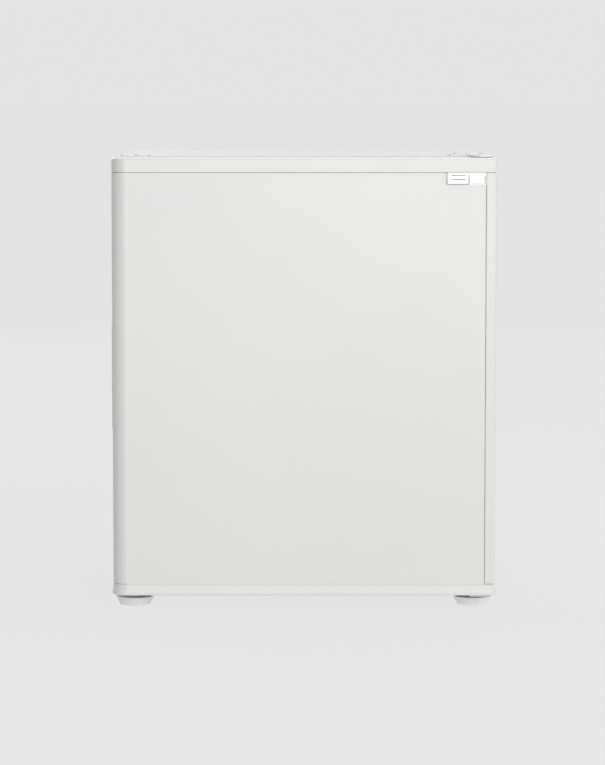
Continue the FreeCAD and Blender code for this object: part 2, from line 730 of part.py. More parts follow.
def wall_spacers():
    """Plastic blocks on the condenser's top that keep the cabinet off a wall."""
    pieces = []
    front = COND_Y + COND_TUBE_R + 2 * COND_WIRE_R + 0.1
    for side in SIDES:
        x = side * (COND_HALF - 45)
        z = COND_TOP - COND_PITCH / 2
        body = block(x - 13, x + 13, front, CAB_BACK + SPACER_BACK, z - 16, z + 16)
        rear = [e for e in body.Edges if e.BoundBox.YMin > CAB_BACK + SPACER_BACK - 0.1]
        pieces.append(body.makeFillet(2.5, rear))
    return group(pieces)


# ---- refrigerant lines ----
def drier_place():
    """Top of the filter drier's axis."""
    return 65.0 - HALF, CAB_BACK - 40.0, FLOOR_GAP + 105.0


def filter_drier():
    """Copper cartridge with spun, tapered ends."""
    x, y, top = drier_place()
    z0, z1 = top - DRIER_L, top
    outline = [(0, z0), (2.6, z0), (DRIER_R, z0 + 12), (DRIER_R, z1 - 12), (3.4, z1), (0, z1)]
    return turned(outline, x, y)


def liquid_line():
    """From the condenser's end to the top of the filter drier."""
    x, y, top = drier_place()
    end = condenser_points()[-1]
    edge = -COND_HALF - RISER_OUT
    route = [end, (edge, end[1], end[2]), (edge, end[1], top + 16), (x, y, top + 16), (x, y, top)]
    return pipe(route, COND_TUBE_R, 6.0)


def discharge_tube():
    """From the compressor can, up beside the condenser to its top run."""
    end = condenser_points()[0]
    edge = COND_HALF + RISER_OUT
    z = COMP_Z + 84
    y = CAB_BACK - 14
    route = [
        (COMP_X + COMP_R * 0.72, COMP_Y + COMP_R * 0.68, z),
        (COMP_X + 62, y, z),
        (COMP_X + 62, y, FLOOR_GAP + 26),
        (edge, end[1], FLOOR_GAP + 26),
        (edge, end[1], end[2]),
        end,
    ]
    return pipe(route, COND_TUBE_R, 8.0).cut(compressor_shell())


def suction_points():
    """From the can up through the bay roof and the back wall to the evaporator."""
    x = COMP_X - 70
    back = ROOM_BACK + LINER + 17
    z_in = EVAP_Z0 + 60
    return [
        (COMP_X - COMP_R * 0.6, COMP_Y + COMP_R * 0.76, COMP_Z + 44),
        (x, back, COMP_Z + 44),
        (x, back, z_in),
        (x, EVAP_BACK + 0.1, z_in),
    ]


def suction_tube():
    """Cold gas return, ending at the can's wall."""
    return pipe(suction_points(), SUCTION_R, 12.0).cut(compressor_shell())


def capillary_points():
    """From the drier's foot, looped, up through the bay roof to the evaporator."""
    x, y, top = drier_place()
    low = top - DRIER_L
    back = ROOM_BACK + LINER + 17
    z_in = EVAP_Z0 + 40
    return [
        (x, y, low),
        (x, y, FLOOR_GAP + 22),
        (x + 40, y - 10, FLOOR_GAP + 22),
        (x + 40, y - 10, FLOOR_GAP + 95),
        (x + 75, back, FLOOR_GAP + 95),
        (x + 75, back, z_in),
        (x + 75, EVAP_BACK + 0.1, z_in),
    ]


def tube_holes():
    """Holes that the two evaporator lines pass through."""
    return [
        pipe(suction_points(), SUCTION_R + TUBE_CLEAR, 12.0),
        pipe(capillary_points(), CAPILLARY_R + TUBE_CLEAR, 8.0),
    ]


def process_tube():
    """Charging stub, pinched shut after filling."""
    x, y, z = COMP_X + 18.0, COMP_Y - COMP_R * 0.9, COMP_Z + 80
    stub = pipe([(x, y, z), (x, y - 18, z), (x, y - 18, z + 36)], 3.0, 7.0)
    pinch = block(x - 3.4, x + 3.4, y - 19, y - 17, z + 30, z + 42)
    return joined([stub, pinch]).cut(compressor_shell())


# ---- ice box ----
def evaporator_box():
    """Folded aluminium box with refrigerant channels raised on its underside and sides."""
    outer = block(EVAP_X0, EVAP_X1, EVAP_FRONT, EVAP_BACK, EVAP_Z0, EVAP_Z1)
    upright = [e for e in outer.Edges if e.BoundBox.YLength > 10]
    outer = outer.makeFillet(7, upright)
    hollow = block(
        EVAP_X0 + EVAP_T,
        EVAP_X1 - EVAP_T,
        EVAP_FRONT - 1,
        EVAP_BACK - EVAP_T,
        EVAP_Z0 + EVAP_T,
        EVAP_Z1 - EVAP_T,
    )
    lengthwise = [e for e in hollow.Edges if e.BoundBox.YLength > 10]
    hollow = hollow.makeFillet(7 - EVAP_T, lengthwise)
    channels = []
    count = int((EVAP_X1 - EVAP_X0 - 30) / CHANNEL_PITCH)
    middle = (EVAP_X0 + EVAP_X1) / 2
    z = EVAP_Z0 + EVAP_T / 2
    y0, y1 = EVAP_FRONT + 16, EVAP_BACK - 14
    xs = [middle + (i - count / 2) * CHANNEL_PITCH for i in range(count + 1)]
    for x in xs:
        channels.append(rod(CHANNEL_R, (x, y0, z), (x, y1, z)))
    for i, (a, b) in enumerate(zip(xs, xs[1:])):
        y = y0 if i % 2 else y1
        channels.append(rod(CHANNEL_R, (a, y, z), (b, y, z)))
        channels += [Part.makeSphere(CHANNEL_R, Vector(x, y, z)) for x in (a, b)]
    body = joined([outer] + channels).cut(hollow)
    return cut_all(body, evaporator_screw_holes())


def evaporator_screw_places():
    """Four screws that hang the ice box from the ceiling."""
    return [(x, y) for x in (EVAP_X0 + 25, EVAP_X1 - 25) for y in (EVAP_FRONT + 30, EVAP_BACK - 40)]


def evaporator_screw_holes():
    """Clearance holes in the box, the liner and the foam."""
    return [rod(2.1, (x, y, EVAP_Z1 - 4), (x, y, ROOM_Z1 + 16)) for x, y in evaporator_screw_places()]


def evaporator_screws():
    """Screws with their heads inside the ice box and plastic spacers round them."""
    z = EVAP_Z1 - EVAP_T
    return group(
        [
            joined([rod(4, (x, y, z - 2), (x, y, z)), rod(2.0, (x, y, z), (x, y, ROOM_Z1 + 14))])
            for x, y in evaporator_screw_places()
        ]
    )


def flap_axis():
    """(y, z) of the ice box flap's hinge."""
    return EVAP_FRONT - FRAME_T - 5, EVAP_Z0 + 8


def ice_box_frame():
    """Plastic surround on the ice box mouth, with two ears for the flap's pins."""
    x0, x1 = EVAP_X0 - 3, EVAP_X1 + 3
    z0, z1 = EVAP_Z0 - 0.5, EVAP_Z1 + 2
    y0, y1 = EVAP_FRONT - FRAME_T, EVAP_FRONT
    surround = block(x0, x1, y0, y1, z0, z1)
    mouth = block(x0 + FRAME_W, x1 - FRAME_W, y0 - 1, y1 + 1, z0 + FRAME_W, z1 - FRAME_W)
    y, z = flap_axis()
    ears = [
        block(x, x + EAR_W, y - 5, y1, z - 5, z + 6)
        for x in (x0, x1 - EAR_W)
    ]
    body = joined([surround.cut(mouth)] + ears)
    return body.cut(rod(FLAP_PIN_R + RUNNING, (x0 + 2, y, z), (x1 - 2, y, z)))


def ice_door():
    """Flap of the ice box, hinged along its lower edge, with a raised border and a finger lip."""
    x0, x1 = EVAP_X0 - 3 + EAR_W + 0.6, EVAP_X1 + 3 - EAR_W - 0.6
    y, z = flap_axis()
    top = EVAP_Z1 - 3
    panel = block(x0, x1, y - FLAP_T / 2, y + FLAP_T / 2, z - FLAP_GAP, top)
    dish = block(x0 + 10, x1 - 10, y - FLAP_T, y - FLAP_T / 2 + 1.6, z + 9, top - 10)
    grip = block(-35 + (x0 + x1) / 2, 35 + (x0 + x1) / 2, y - 9, y, top - 3, top)
    pin = rod(FLAP_PIN_R, (x0 - EAR_W + 3, y, z), (x1 + EAR_W - 3, y, z))
    return joined([panel.cut(dish), grip, pin])


def drip_tray():
    """Shallow tray under the ice box that catches melt water, with a pull at the front."""
    x0, x1 = EVAP_X0 + 8, EVAP_X1 - 8
    z0, z1 = TRAY_Z, TRAY_RIM_Z
    y0, y1 = TRAY_FRONT, EVAP_BACK - 10
    body = block(x0, x1, y0, y1, z0, z1)
    base = [e for e in body.Edges if e.BoundBox.ZMax < z0 + 0.1]
    body = body.makeFillet(4, base)
    hollow = block(x0 + TRAY_T, x1 - TRAY_T, y0 + TRAY_T, y1 - TRAY_T, z0 + TRAY_T, z1 + 1)
    floor = [e for e in hollow.Edges if e.BoundBox.ZMax < z0 + TRAY_T + 0.1]
    rims = [
        block(x0 - RAIL_LIP, x0 + 1, y0 + 20, y1, z1 - TRAY_T, z1),
        block(x1 - 1, x1 + RAIL_LIP, y0 + 20, y1, z1 - TRAY_T, z1),
    ]
    middle = (x0 + x1) / 2
    pull = block(middle - 45, middle + 45, y0 - 8, y0 + 1, z1 - 3, z1)
    return joined([body] + rims + [pull]).cut(hollow.makeFillet(3, floor))


def tray_rails():
    """Plastic runners under the ice box that the drip tray slides in."""
    low = TRAY_RIM_Z - TRAY_T - 0.4 - 2
    pieces = []
    for side, x in ((-1, EVAP_X0 + 8 - RAIL_LIP), (1, EVAP_X1 - 8 + RAIL_LIP)):
        wall = x + side * 0.6
        upright = block(wall, wall + side * 2, EVAP_FRONT, EVAP_BACK - 4, low, EVAP_Z0)
        lip = block(wall + side * 2, wall - side * (RAIL_LIP - 0.8), EVAP_FRONT, EVAP_BACK - 4, low, low + 2)
        pieces.append(joined([upright, lip]))
    return group(pieces)


# ---- thermostat ----
def therm_box():
    """x0, x1, z0 and z1 of the thermostat housing."""
    x1, z1 = ROOM_X, ROOM_Z1 - THERM_DROP
    return x1 - THERM_W, x1, z1 - THERM_H, z1


def knob_axis():
    """(x, z) of the thermostat's shaft."""
    x0, x1, z0, z1 = therm_box()
    return (x0 + x1) / 2, (z0 + z1) / 2


def bulb_points():
    """Sensing line from the thermostat to the side of the ice box."""
    x0 = therm_box()[0]
    x, z = knob_axis()
    clip = EVAP_X1 + 2.2
    y = THERM_FRONT + 70
    between = (x0 + clip) / 2
    return [(x - 8, y, z), (between, y, z), (between, y, z - 20), (between, y + 30, z - 20)]


def thermostat_housing():
    """Plastic cover on the right-hand wall, open towards the wall."""
    x0, x1, z0, z1 = therm_box()
    y1 = THERM_FRONT + THERM_D
    body = block(x0, x1, THERM_FRONT, y1, z0, z1)
    upright = [e for e in body.Edges if e.BoundBox.XMax < x1 - 1 or e.BoundBox.YMax < THERM_FRONT + 0.1]
    body = body.makeFillet(3, [e for e in upright if e.BoundBox.XMax < x1 - 1])
    t = THERM_T
    hollow = block(x0 + t, x1 + 1, THERM_FRONT + t, y1 - t, z0 + t, z1 - t)
    x, z = knob_axis()
    shaft = rod(SHAFT_R + 0.6, (x, THERM_FRONT - 5, z), (x, THERM_FRONT + 5, z))
    return body.cut(hollow).cut(shaft).cut(pipe(bulb_points(), 1.6, 4.0))


def thermostat_switch():
    """Snap switch with its bellows and turning shaft, behind the housing's front wall."""
    x, z = knob_axis()
    y0 = THERM_FRONT + THERM_T
    case = block(x - 16, x + 16, y0, y0 + 30, z - 14, z + 14)
    bellows = rod(12, (x, y0 + 30, z), (x, y0 + 40, z))
    shaft = rod(SHAFT_R, (x, THERM_FRONT - KNOB_L + 3, z), (x, y0 + 1, z))
    return joined([case, bellows, shaft]).cut(pipe(bulb_points(), 1.2, 4.0))


def thermostat_bulb():
    """Sensing capillary and its bulb on the side of the ice box."""
    return pipe(bulb_points(), 1.0, 4.0)


def thermostat_knob():
    """Round control knob with a finger bar and a fluted edge."""
    x, z = knob_axis()
    y1 = THERM_FRONT - 0.6
    y0 = y1 - KNOB_L
    skirt = rod(KNOB_R, (x, y1 - 5, z), (x, y1, z))
    drum = rod(KNOB_R - 3, (x, y0 + 2, z), (x, y1 - 5, z))
    bar = block(x - 3, x + 3, y0, y0 + 3, z - KNOB_R + 4, z + KNOB_R - 4)
    flutes = []
    for i in range(18):
        angle = math.radians(20 * i)
        fx, fz = x + (KNOB_R - 2.6) * math.cos(angle), z + (KNOB_R - 2.6) * math.sin(angle)
        flutes.append(rod(0.9, (fx, y0 + 1, fz), (fx, y1 - 5, fz)))
    bore = rod(SHAFT_R + RUNNING, (x, y1 - KNOB_L + 3, z), (x, y1 + 1, z))
    return joined([skirt, drum.cut(flutes), bar]).cut(bore)


# ---- shelves ----
def wire_shelf(ledge_z):
    """Coated wire shelf: a flat grid of wires on a rod frame, and a stop bar welded on behind."""
    half = ROOM_X - SHELF_SIDE_GAP - SHELF_ROD
    z = ledge_z + LEDGE_H + 0.3 + SHELF_ROD
    y0, y1 = SHELF_FRONT + SHELF_ROD, ROOM_BACK - SHELF_BACK_GAP - SHELF_ROD - LINER_R
    frame = [(-half, y0, z), (half, y0, z), (half, y1, z), (-half, y1, z)]
    rods = [rod(SHELF_ROD, a, b) for a, b in zip(frame, frame[1:] + frame[:1])]
    rods += [Part.makeSphere(SHELF_ROD, Vector(*p)) for p in frame]
    count = int(2 * half / SHELF_PITCH)
    first = -(count - 1) * SHELF_PITCH / 2
    for i in range(count):
        x = first + i * SHELF_PITCH
        rods.append(rod(SHELF_WIRE, (x, y0, z + 0.8), (x, y1, z + 0.8)))
    for part in (1, 2):
        y = y0 + (y1 - y0) * part / 3
        rods.append(rod(STOP_ROD, (-half, y, z - 0.5), (half, y, z - 0.5)))
    grid = joined(rods)
    corners = [(-half, y1, z), (-half, y1, z + STOP_H), (half, y1, z + STOP_H), (half, y1, z)]
    bars = [rod(STOP_ROD, a, b) for a, b in zip(corners, corners[1:])]
    bars += [Part.makeSphere(STOP_ROD, Vector(*p)) for p in corners[1:3]]
    return group([grid, joined(bars).cut(grid)])


# ---- door ----
def door_prism(inset, z0, z1, back):
    """The door's plan outline, inset on every side but the back, raised from z0 to z1."""
    x0, x1, y0 = -DOOR_HALF + inset, DOOR_HALF - inset, DOOR_FRONT + inset
    big, small = EDGE_R - inset, max(TRIM_R - inset, 0.3)
    diagonal = 1 - math.sqrt(0.5)
    edges = [
        Part.LineSegment(Vector(x0, back, z0), Vector(x0, y0 + big, z0)),
        Part.Arc(
            Vector(x0, y0 + big, z0),
            Vector(x0 + big * diagonal, y0 + big * diagonal, z0),
            Vector(x0 + big, y0, z0),
        ),
        Part.LineSegment(Vector(x0 + big, y0, z0), Vector(x1 - small, y0, z0)),
        Part.Arc(
            Vector(x1 - small, y0, z0),
            Vector(x1 - small * diagonal, y0 + small * diagonal, z0),
            Vector(x1, y0 + small, z0),
        ),
        Part.LineSegment(Vector(x1, y0 + small, z0), Vector(x1, back, z0)),
        Part.LineSegment(Vector(x1, back, z0), Vector(x0, back, z0)),
    ]
    return Part.Face(Part.Wire([e.toShape() for e in edges])).extrude(Vector(0, 0, z1 - z0))


def bush_hole(side, z0, z1):
    """The hole for a hinge bush or its plug."""
    return rod(BUSH_R, (side * HINGE_X, HINGE_Y, z0), (side * HINGE_X, HINGE_Y, z1))


def grip_space(grow):
    """The finger grip's recess in the door's opening edge, grown outwards."""
    y = DOOR_FRONT + EDGE_R + 2 + GRIP_T + GRIP_W / 2
    half_w, half_h = GRIP_W / 2 + grow, GRIP_H / 2 + grow
    x1 = -DOOR_HALF + GRIP_DEEP + grow
    return block(-DOOR_HALF - 1, x1, y - half_w, y + half_w, GRIP_Z - half_h, GRIP_Z + half_h)


def grip_insert():
    """Plastic cup that lines the finger grip, with a thin flange on the door's edge."""
    y = DOOR_FRONT + EDGE_R + 2 + GRIP_T + GRIP_W / 2
    cup = grip_space(GRIP_T).common(block(-DOOR_HALF, 0, DOOR_FRONT, DOOR_BACK, 0, CAB_TOP))
    flange = block(
        -DOOR_HALF - 0.6,
        -DOOR_HALF,
        y - GRIP_W / 2 - GRIP_T - 0.6,
        y + GRIP_W / 2 + GRIP_T + 0.6,
        GRIP_Z - GRIP_H / 2 - 4,
        GRIP_Z + GRIP_H / 2 + 4,
    )
    return joined([cup, flange]).cut(grip_space(0))


def door_panel():
    """Painted sheet: the front face, the rounded opening edge and a return at the hinge side."""
    z0, z1 = PANEL_Z0 + SEAM, PANEL_Z1 - SEAM
    skin = door_prism(0, z0, z1, DOOR_BACK)
    skin = skin.cut(door_prism(SHEET, z0 - 1, z1 + 1, DOOR_BACK + 1))
    skin = skin.cut(block(TRIM_X - SEAM, DOOR_HALF + 1, DOOR_FRONT - 1, DOOR_BACK + 1, 0, CAB_TOP))
    turn = block(TRIM_X - SEAM - SHEET, TRIM_X - SEAM, DOOR_FRONT, DOOR_FRONT + 10, z0, z1)
    return joined([skin, turn]).cut(grip_space(GRIP_T))


def door_edge_trim():
    """Plastic extrusion that finishes the hinge edge."""
    z0, z1 = PANEL_Z0 + SEAM, PANEL_Z1 - SEAM
    skin = door_prism(0, z0, z1, DOOR_BACK).cut(door_prism(TRIM_T, z0 - 1, z1 + 1, DOOR_BACK + 1))
    return skin.common(block(TRIM_X, DOOR_HALF + 1, DOOR_FRONT - 1, DOOR_BACK + 1, 0, CAB_TOP))


def door_top_cap():
    """Moulded cap over the top of the door, hollow below, with softened upper edges."""
    body = door_prism(0, PANEL_Z1, DOOR_TOP, DOOR_BACK)
    top = [e for e in body.Edges if e.BoundBox.ZMin > DOOR_TOP - 0.01 and e.BoundBox.YMin < DOOR_BACK - 0.1]
    body = body.makeFillet(1.6, top)
    body = body.cut(door_prism(CAP_T, PANEL_Z1 - 1, DOOR_TOP - CAP_T, DOOR_BACK - DOOR_LINER))
    return cut_all(body, [bush_hole(side, PANEL_Z1 - 1, DOOR_TOP + 1) for side in SIDES])


def door_bottom_cap():
    """Moulded cap under the door with a slightly flared lower rim, hollow above."""
    body = door_prism(0, DOOR_BOTTOM, PANEL_Z0, DOOR_BACK)
    rim = door_prism(-CAP_FLARE, DOOR_BOTTOM, DOOR_BOTTOM + 6, DOOR_BACK)
    upper = [
        e
        for e in rim.Edges
        if e.BoundBox.ZMin > DOOR_BOTTOM + 5.9 and e.BoundBox.YMin < DOOR_BACK - 0.1
    ]
    rim = rim.makeChamfer(CAP_FLARE * 0.98, upper)
    rim = rim.common(block(-HALF, HALF, DOOR_FRONT - BADGE_T, DOOR_BACK, 0, CAB_TOP))
    body = joined([body, rim])
    body = body.cut(door_prism(CAP_T, DOOR_BOTTOM + CAP_T, PANEL_Z0 + 1, DOOR_BACK - DOOR_LINER))
    return cut_all(body, [bush_hole(side, DOOR_BOTTOM - 1, PANEL_Z0 + 1) for side in SIDES])


def dyke(inset, y0, y1):
    """The raised rim on the inside of the door that carries the racks, inset all round."""
    x = ROOM_X - DYKE_GAP
    outer = block(-x + inset, x - inset, y0, y1, DYKE_Z0 + inset, DYKE_Z1 - inset)
    w = DYKE_W - inset
    return outer.cut(block(-x + w, x - w, y0 - 1, y1 + 1, DYKE_Z0 + w, DYKE_Z1 - w))


def rack_bosses():
    """Small ledges inside the raised rim that the racks hang on."""
    x = ROOM_X - DYKE_GAP - DYKE_W
    places = []
    for z in (BOTTLE_RACK_Z, UPPER_RACK_Z):
        for side in SIDES:
            x0, x1 = side * (x + 1), side * (x - 6)
            places.append(block(x0, x1, DOOR_BACK + 8, DOOR_BACK + 28, z - 2.7, z - 0.2))
    return places


def door_liner():
    """Vacuum-formed inside of the door with its raised rim."""
    inner = DOOR_HALF - CAP_T
    plate = block(
        -DOOR_HALF + SHEET + 0.1,
        DOOR_HALF - TRIM_T - 0.1,
        DOOR_BACK - DOOR_LINER,
        DOOR_BACK,
        PANEL_Z0 + 1,
        PANEL_Z1 - 1,
    )
    upper = block(-inner, inner, DOOR_BACK - DOOR_LINER, DOOR_BACK, PANEL_Z1 - 1, PANEL_Z1 - 0.2)
    rim = dyke(0, DOOR_BACK - DOOR_LINER, DOOR_BACK + DYKE_H)
    core = dyke(DOOR_LINER, DOOR_BACK - DOOR_LINER - 1, DOOR_BACK + DYKE_H - DOOR_LINER)
    body = joined([plate, upper, rim] + rack_bosses())
    return body.cut(core)


def door_foam():
    """Rigid foam inside the door."""
    back = DOOR_BACK - DOOR_LINER
    wide = door_prism(TRIM_T + 0.1, PANEL_Z0, PANEL_Z1, back)
    body = door_prism(CAP_T + 0.1, DOOR_BOTTOM + CAP_T + 0.1, DOOR_TOP - CAP_T - 0.1, back)
    core = dyke(DOOR_LINER, back - 1, DOOR_BACK + DYKE_H - DOOR_LINER)
    turn = block(TRIM_X - SEAM - SHEET, TRIM_X - SEAM, DOOR_FRONT, DOOR_FRONT + 10, 0, CAB_TOP)
    tools = [grip_space(GRIP_T), turn]
    for side in SIDES:
        tools.append(bush_hole(side, DOOR_TOP - BUSH_L, DOOR_TOP))
        tools.append(bush_hole(side, DOOR_BOTTOM, DOOR_BOTTOM + BUSH_L))
    return cut_all(joined([body, wide, core]), tools)


def hinge_bushes():
    """Plastic sleeves in both caps that turn on the hinge pins."""
    low = DOOR_BOTTOM, DOOR_BOTTOM + BUSH_L
    high = DOOR_TOP - BUSH_L, DOOR_TOP
    return group(
        [
            ring(BUSH_R, PIN_R + RUNNING, (HINGE_X, HINGE_Y, z0), (HINGE_X, HINGE_Y, z1))
            for z0, z1 in (low, high)
        ]
    )


def door_hole_plugs():
    """Plugs in the bush holes on the side that isn't used."""
    low = rod(BUSH_R, (-HINGE_X, HINGE_Y, DOOR_BOTTOM), (-HINGE_X, HINGE_Y, DOOR_BOTTOM + BUSH_L))
    high = rod(BUSH_R, (-HINGE_X, HINGE_Y, DOOR_TOP - BUSH_L), (-HINGE_X, HINGE_Y, DOOR_TOP))
    return group([low, high])


def hinge_hole_plugs():
    """Plastic caps in the spare hinge screw holes on the cabinet top."""
    pieces = []
    for x, y in top_plate_holes(-1):
        head = rod(4.5, (x, y, CAB_TOP), (x, y, CAB_TOP + 1.2))
        pieces.append(joined([head, rod(SCREW_R, (x, y, CAB_TOP - 8), (x, y, CAB_TOP + 0.1))]))
    return group(pieces)


def seal_frame(inset, width, y0, y1):
    """A rectangular ring on the inside of the door, following the seal."""
    x = DOOR_HALF - SEAL_INSET - inset
    z0, z1 = DOOR_BOTTOM + SEAL_INSET - 3 + inset, DOOR_TOP - SEAL_INSET + 2 - inset
    outer = block(-x, x, y0, y1, z0, z1)
    return outer.cut(block(-x + width, x - width, y0 - 1, y1 + 1, z0 + width, z1 - width))


def seal_depths():
    """Planes of the seal's two faces and of its magnet."""
    face = CAB_FRONT - SEAL_GAP
    return DOOR_BACK, face, face - 1.2 - MAGNET_T, face - 1.2


def door_gasket():
    """Soft seal round the door with a channel for its magnet and a narrower bellows waist."""
    y0, y1, m0, m1 = seal_depths()
    body = seal_frame(0, SEAL_W, y0, y1)
    side = (SEAL_W - MAGNET_W) / 2
    channel = seal_frame(side - 0.3, MAGNET_W + 0.6, m0 - 0.2, m1 + 0.2)
    waist_in = seal_frame(-1, 3.0, y0 + 1.5, m0 - 1.2)
    waist_out = seal_frame(SEAL_W - 2, 3.0, y0 + 1.5, m0 - 1.2)
    return body.cut(channel).cut(waist_in).cut(waist_out)


def gasket_magnets():
    """Four flexible magnet strips inside the seal."""
    _, _, m0, m1 = seal_depths()
    side = (SEAL_W - MAGNET_W) / 2
    loop = seal_frame(side, MAGNET_W, m0, m1)
    x = DOOR_HALF - SEAL_INSET - side - MAGNET_W
    z0 = DOOR_BOTTOM + SEAL_INSET - 3 + side + MAGNET_W
    z1 = DOOR_TOP - SEAL_INSET + 2 - side - MAGNET_W
    uprights = [loop.common(block(s * x, s * HALF, m0, m1, z0 + 0.2, z1 - 0.2)) for s in SIDES]
    spans = [loop.common(block(-HALF, HALF, m0, m1, a, b)) for a, b in ((0, z0), (z1, CAB_TOP))]
    return group(uprights + spans)


def badge_plate():
    """Plain bright plate at the panel's upper corner, with no marking."""
    x1 = TRIM_X - SEAM
    z1 = PANEL_Z1 - SEAM
    plate = block(x1 - BADGE_W, x1, DOOR_FRONT - BADGE_T, DOOR_FRONT, z1 - BADGE_H, z1)
    corners = [e for e in plate.Edges if e.BoundBox.YLength > BADGE_T / 2]
    return plate.makeFillet(1.2, corners)


def door_rack(z, height):
    """Open plastic rack between the door's raised sides, with a rail along its front."""
    x = ROOM_X - DYKE_GAP - DYKE_W - RACK_GAP
    y0, y1 = DOOR_BACK + 0.5, DOOR_BACK + RACK_DEPTH
    body = block(-x, x, y0, y1, z, z + height)
    front = [e for e in body.Edges if e.BoundBox.ZLength > height / 2 and e.BoundBox.YMin > y1 - 1]
    body = body.makeFillet(9, front)
    hollow = block(-x + RACK_T, x - RACK_T, y0 - 1, y1 - RACK_T, z + RACK_T, z + height + 1)
    tall = [e for e in hollow.Edges if e.BoundBox.ZLength > height / 2]
    inner = [e for e in tall if e.BoundBox.YMin > y1 - RACK_T - 1]
    hollow = hollow.makeFillet(9 - RACK_T, inner)
    window = block(-x + 22, x - 22, y1 - RACK_T - 2, y1 + 1, z + height * 0.45, z + height - 8)
    return body.cut(hollow).cut(window)


NODES = {
    "outer_shell": outer_shell,
    "back_panel": back_panel,
    "bottom_panel": bottom_panel,
    "front_rail": front_rail,
    "cabinet_foam": cabinet_foam,
    "inner_liner": inner_liner,
    "top_hinge_plate": top_hinge_plate,
    "bottom_hinge_bracket": lambda: foot_bracket(1, True),
    "hinge_pins": lambda: group([hinge_pin(CAB_TOP, -1, PLATE_T), hinge_pin(FLOOR_GAP, 1, BRACKET_T)]),
    "left_foot_bracket": lambda: foot_bracket(-1, False),
    "hinge_screws": lambda: group([screw(*place) for place in hinge_screw_places()]),
    "hinge_hole_plugs": hinge_hole_plugs,
    "foot_nuts": foot_nuts,
    "foot_left": lambda: levelling_foot(-1),
    "foot_right": lambda: levelling_foot(1),
    "rear_feet": rear_feet,
    "compressor_tray": compressor_tray,
    "cable_gland": cable_gland,
    "compressor_base": compressor_base,
    "compressor_shell": compressor_shell,
    "compressor_grommets": compressor_grommets,
    "compressor_bolts": compressor_bolts,
    "relay_cover": relay_cover,
    "process_tube": process_tube,
    "discharge_tube": discharge_tube,
    "condenser_tube": condenser_tube,
    "condenser_wires": condenser_wires,
    "condenser_brackets": condenser_brackets,
    "condenser_screws": condenser_screws,
    "wall_spacers": wall_spacers,
    "liquid_line": liquid_line,
    "filter_drier": filter_drier,
    "capillary_tube": lambda: pipe(capillary_points(), CAPILLARY_R, 8.0),
    "suction_tube": suction_tube,
    "evaporator_box": evaporator_box,
    "evaporator_screws": evaporator_screws,
    "ice_box_frame": ice_box_frame,
    "ice_door": ice_door,
    "drip_tray": drip_tray,
    "tray_rails": tray_rails,
    "thermostat_housing": thermostat_housing,
    "thermostat_switch": thermostat_switch,
    "thermostat_bulb": thermostat_bulb,
    "thermostat_knob": thermostat_knob,
    "upper_shelf": lambda: wire_shelf(UPPER_SHELF_Z),
    "lower_shelf": lambda: wire_shelf(LOWER_SHELF_Z),
    "door_panel": door_panel,
    "door_edge_trim": door_edge_trim,
    "door_top_cap": door_top_cap,
    "door_bottom_cap": door_bottom_cap,
    "door_foam": door_foam,
    "door_liner": door_liner,
    "door_gasket": door_gasket,
    "gasket_magnets": gasket_magnets,
    "grip_insert": grip_insert,
    "hinge_bushes": hinge_bushes,
    "door_hole_plugs": door_hole_plugs,
    "badge_plate": badge_plate,
    "bottle_rack": lambda: door_rack(BOTTLE_RACK_Z, BOTTLE_RACK_H),
    "upper_rack": lambda: door_rack(UPPER_RACK_Z, UPPER_RACK_H),
}

os.makedirs("parts", exist_ok=True)
for name, make in NODES.items():
    shape = make()
    shape.exportStep(f"parts/{name}.step")
    print(f"{name:22s} {len(shape.Solids):3d} {shape.isValid()} {shape.Volume / 1000:10.2f} cm3")
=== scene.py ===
import json
import math

import bmesh
import bpy
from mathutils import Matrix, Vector


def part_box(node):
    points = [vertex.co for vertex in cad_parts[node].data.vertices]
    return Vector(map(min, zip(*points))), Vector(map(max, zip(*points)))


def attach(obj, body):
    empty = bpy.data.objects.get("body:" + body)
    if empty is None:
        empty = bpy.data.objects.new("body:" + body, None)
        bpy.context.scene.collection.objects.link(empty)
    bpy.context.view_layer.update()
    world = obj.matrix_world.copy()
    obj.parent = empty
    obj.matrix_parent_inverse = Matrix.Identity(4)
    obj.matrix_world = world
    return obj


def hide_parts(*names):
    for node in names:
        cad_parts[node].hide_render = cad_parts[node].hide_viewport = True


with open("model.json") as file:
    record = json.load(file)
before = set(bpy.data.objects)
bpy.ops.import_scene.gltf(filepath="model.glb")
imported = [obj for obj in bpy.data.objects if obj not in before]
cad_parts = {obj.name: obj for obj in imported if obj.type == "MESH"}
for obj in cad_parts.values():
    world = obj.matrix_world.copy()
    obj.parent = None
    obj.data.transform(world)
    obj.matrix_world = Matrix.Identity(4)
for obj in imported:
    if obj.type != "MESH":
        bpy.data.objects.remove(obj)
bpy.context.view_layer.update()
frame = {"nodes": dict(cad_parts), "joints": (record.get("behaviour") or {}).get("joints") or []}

nodes = frame["nodes"]
bpy.ops.object.select_all(action="DESELECT")


# ==== Camera, floor and light ====
# A long lens stands well back and a little over the cabinet's top, level with its middle.
# The floor is a wide pale sheet, and large soft lamps stand in front, to the right and behind.
STAND_ASIDE = -0.0014  # lens to the middle plane
STAND_BACK = 3.42  # door front to lens
LOOK_OVER = 0.067  # door top to lens
LOOK_DOWN = math.radians(5.289)
LENS = 145.16  # millimetres, on a 36 mm frame
SEES_TO = 400.0
FLOOR_REACH = 160.0
FLOOR_TONE = 0.05
ROOM_GREY = 0.783  # what the eye sees of floor and distance
FLOOR_SEEN = 0.752  # the floor's own glow, as it is seen
FLOOR_LIGHTS = 0.60  # the floor's glow, as it lights the cabinet
BRIGHT_SIDE = (0.40, 0.85, 0.34)  # the way to the lightest part of the room
AMBIENT = (0.08, 0.86)  # darkest and lightest part of the room
AMBIENT_SPREAD = (-0.9, 1.0)  # how far round the room the two lie
MIDDLE = (0, 0, 0.25)

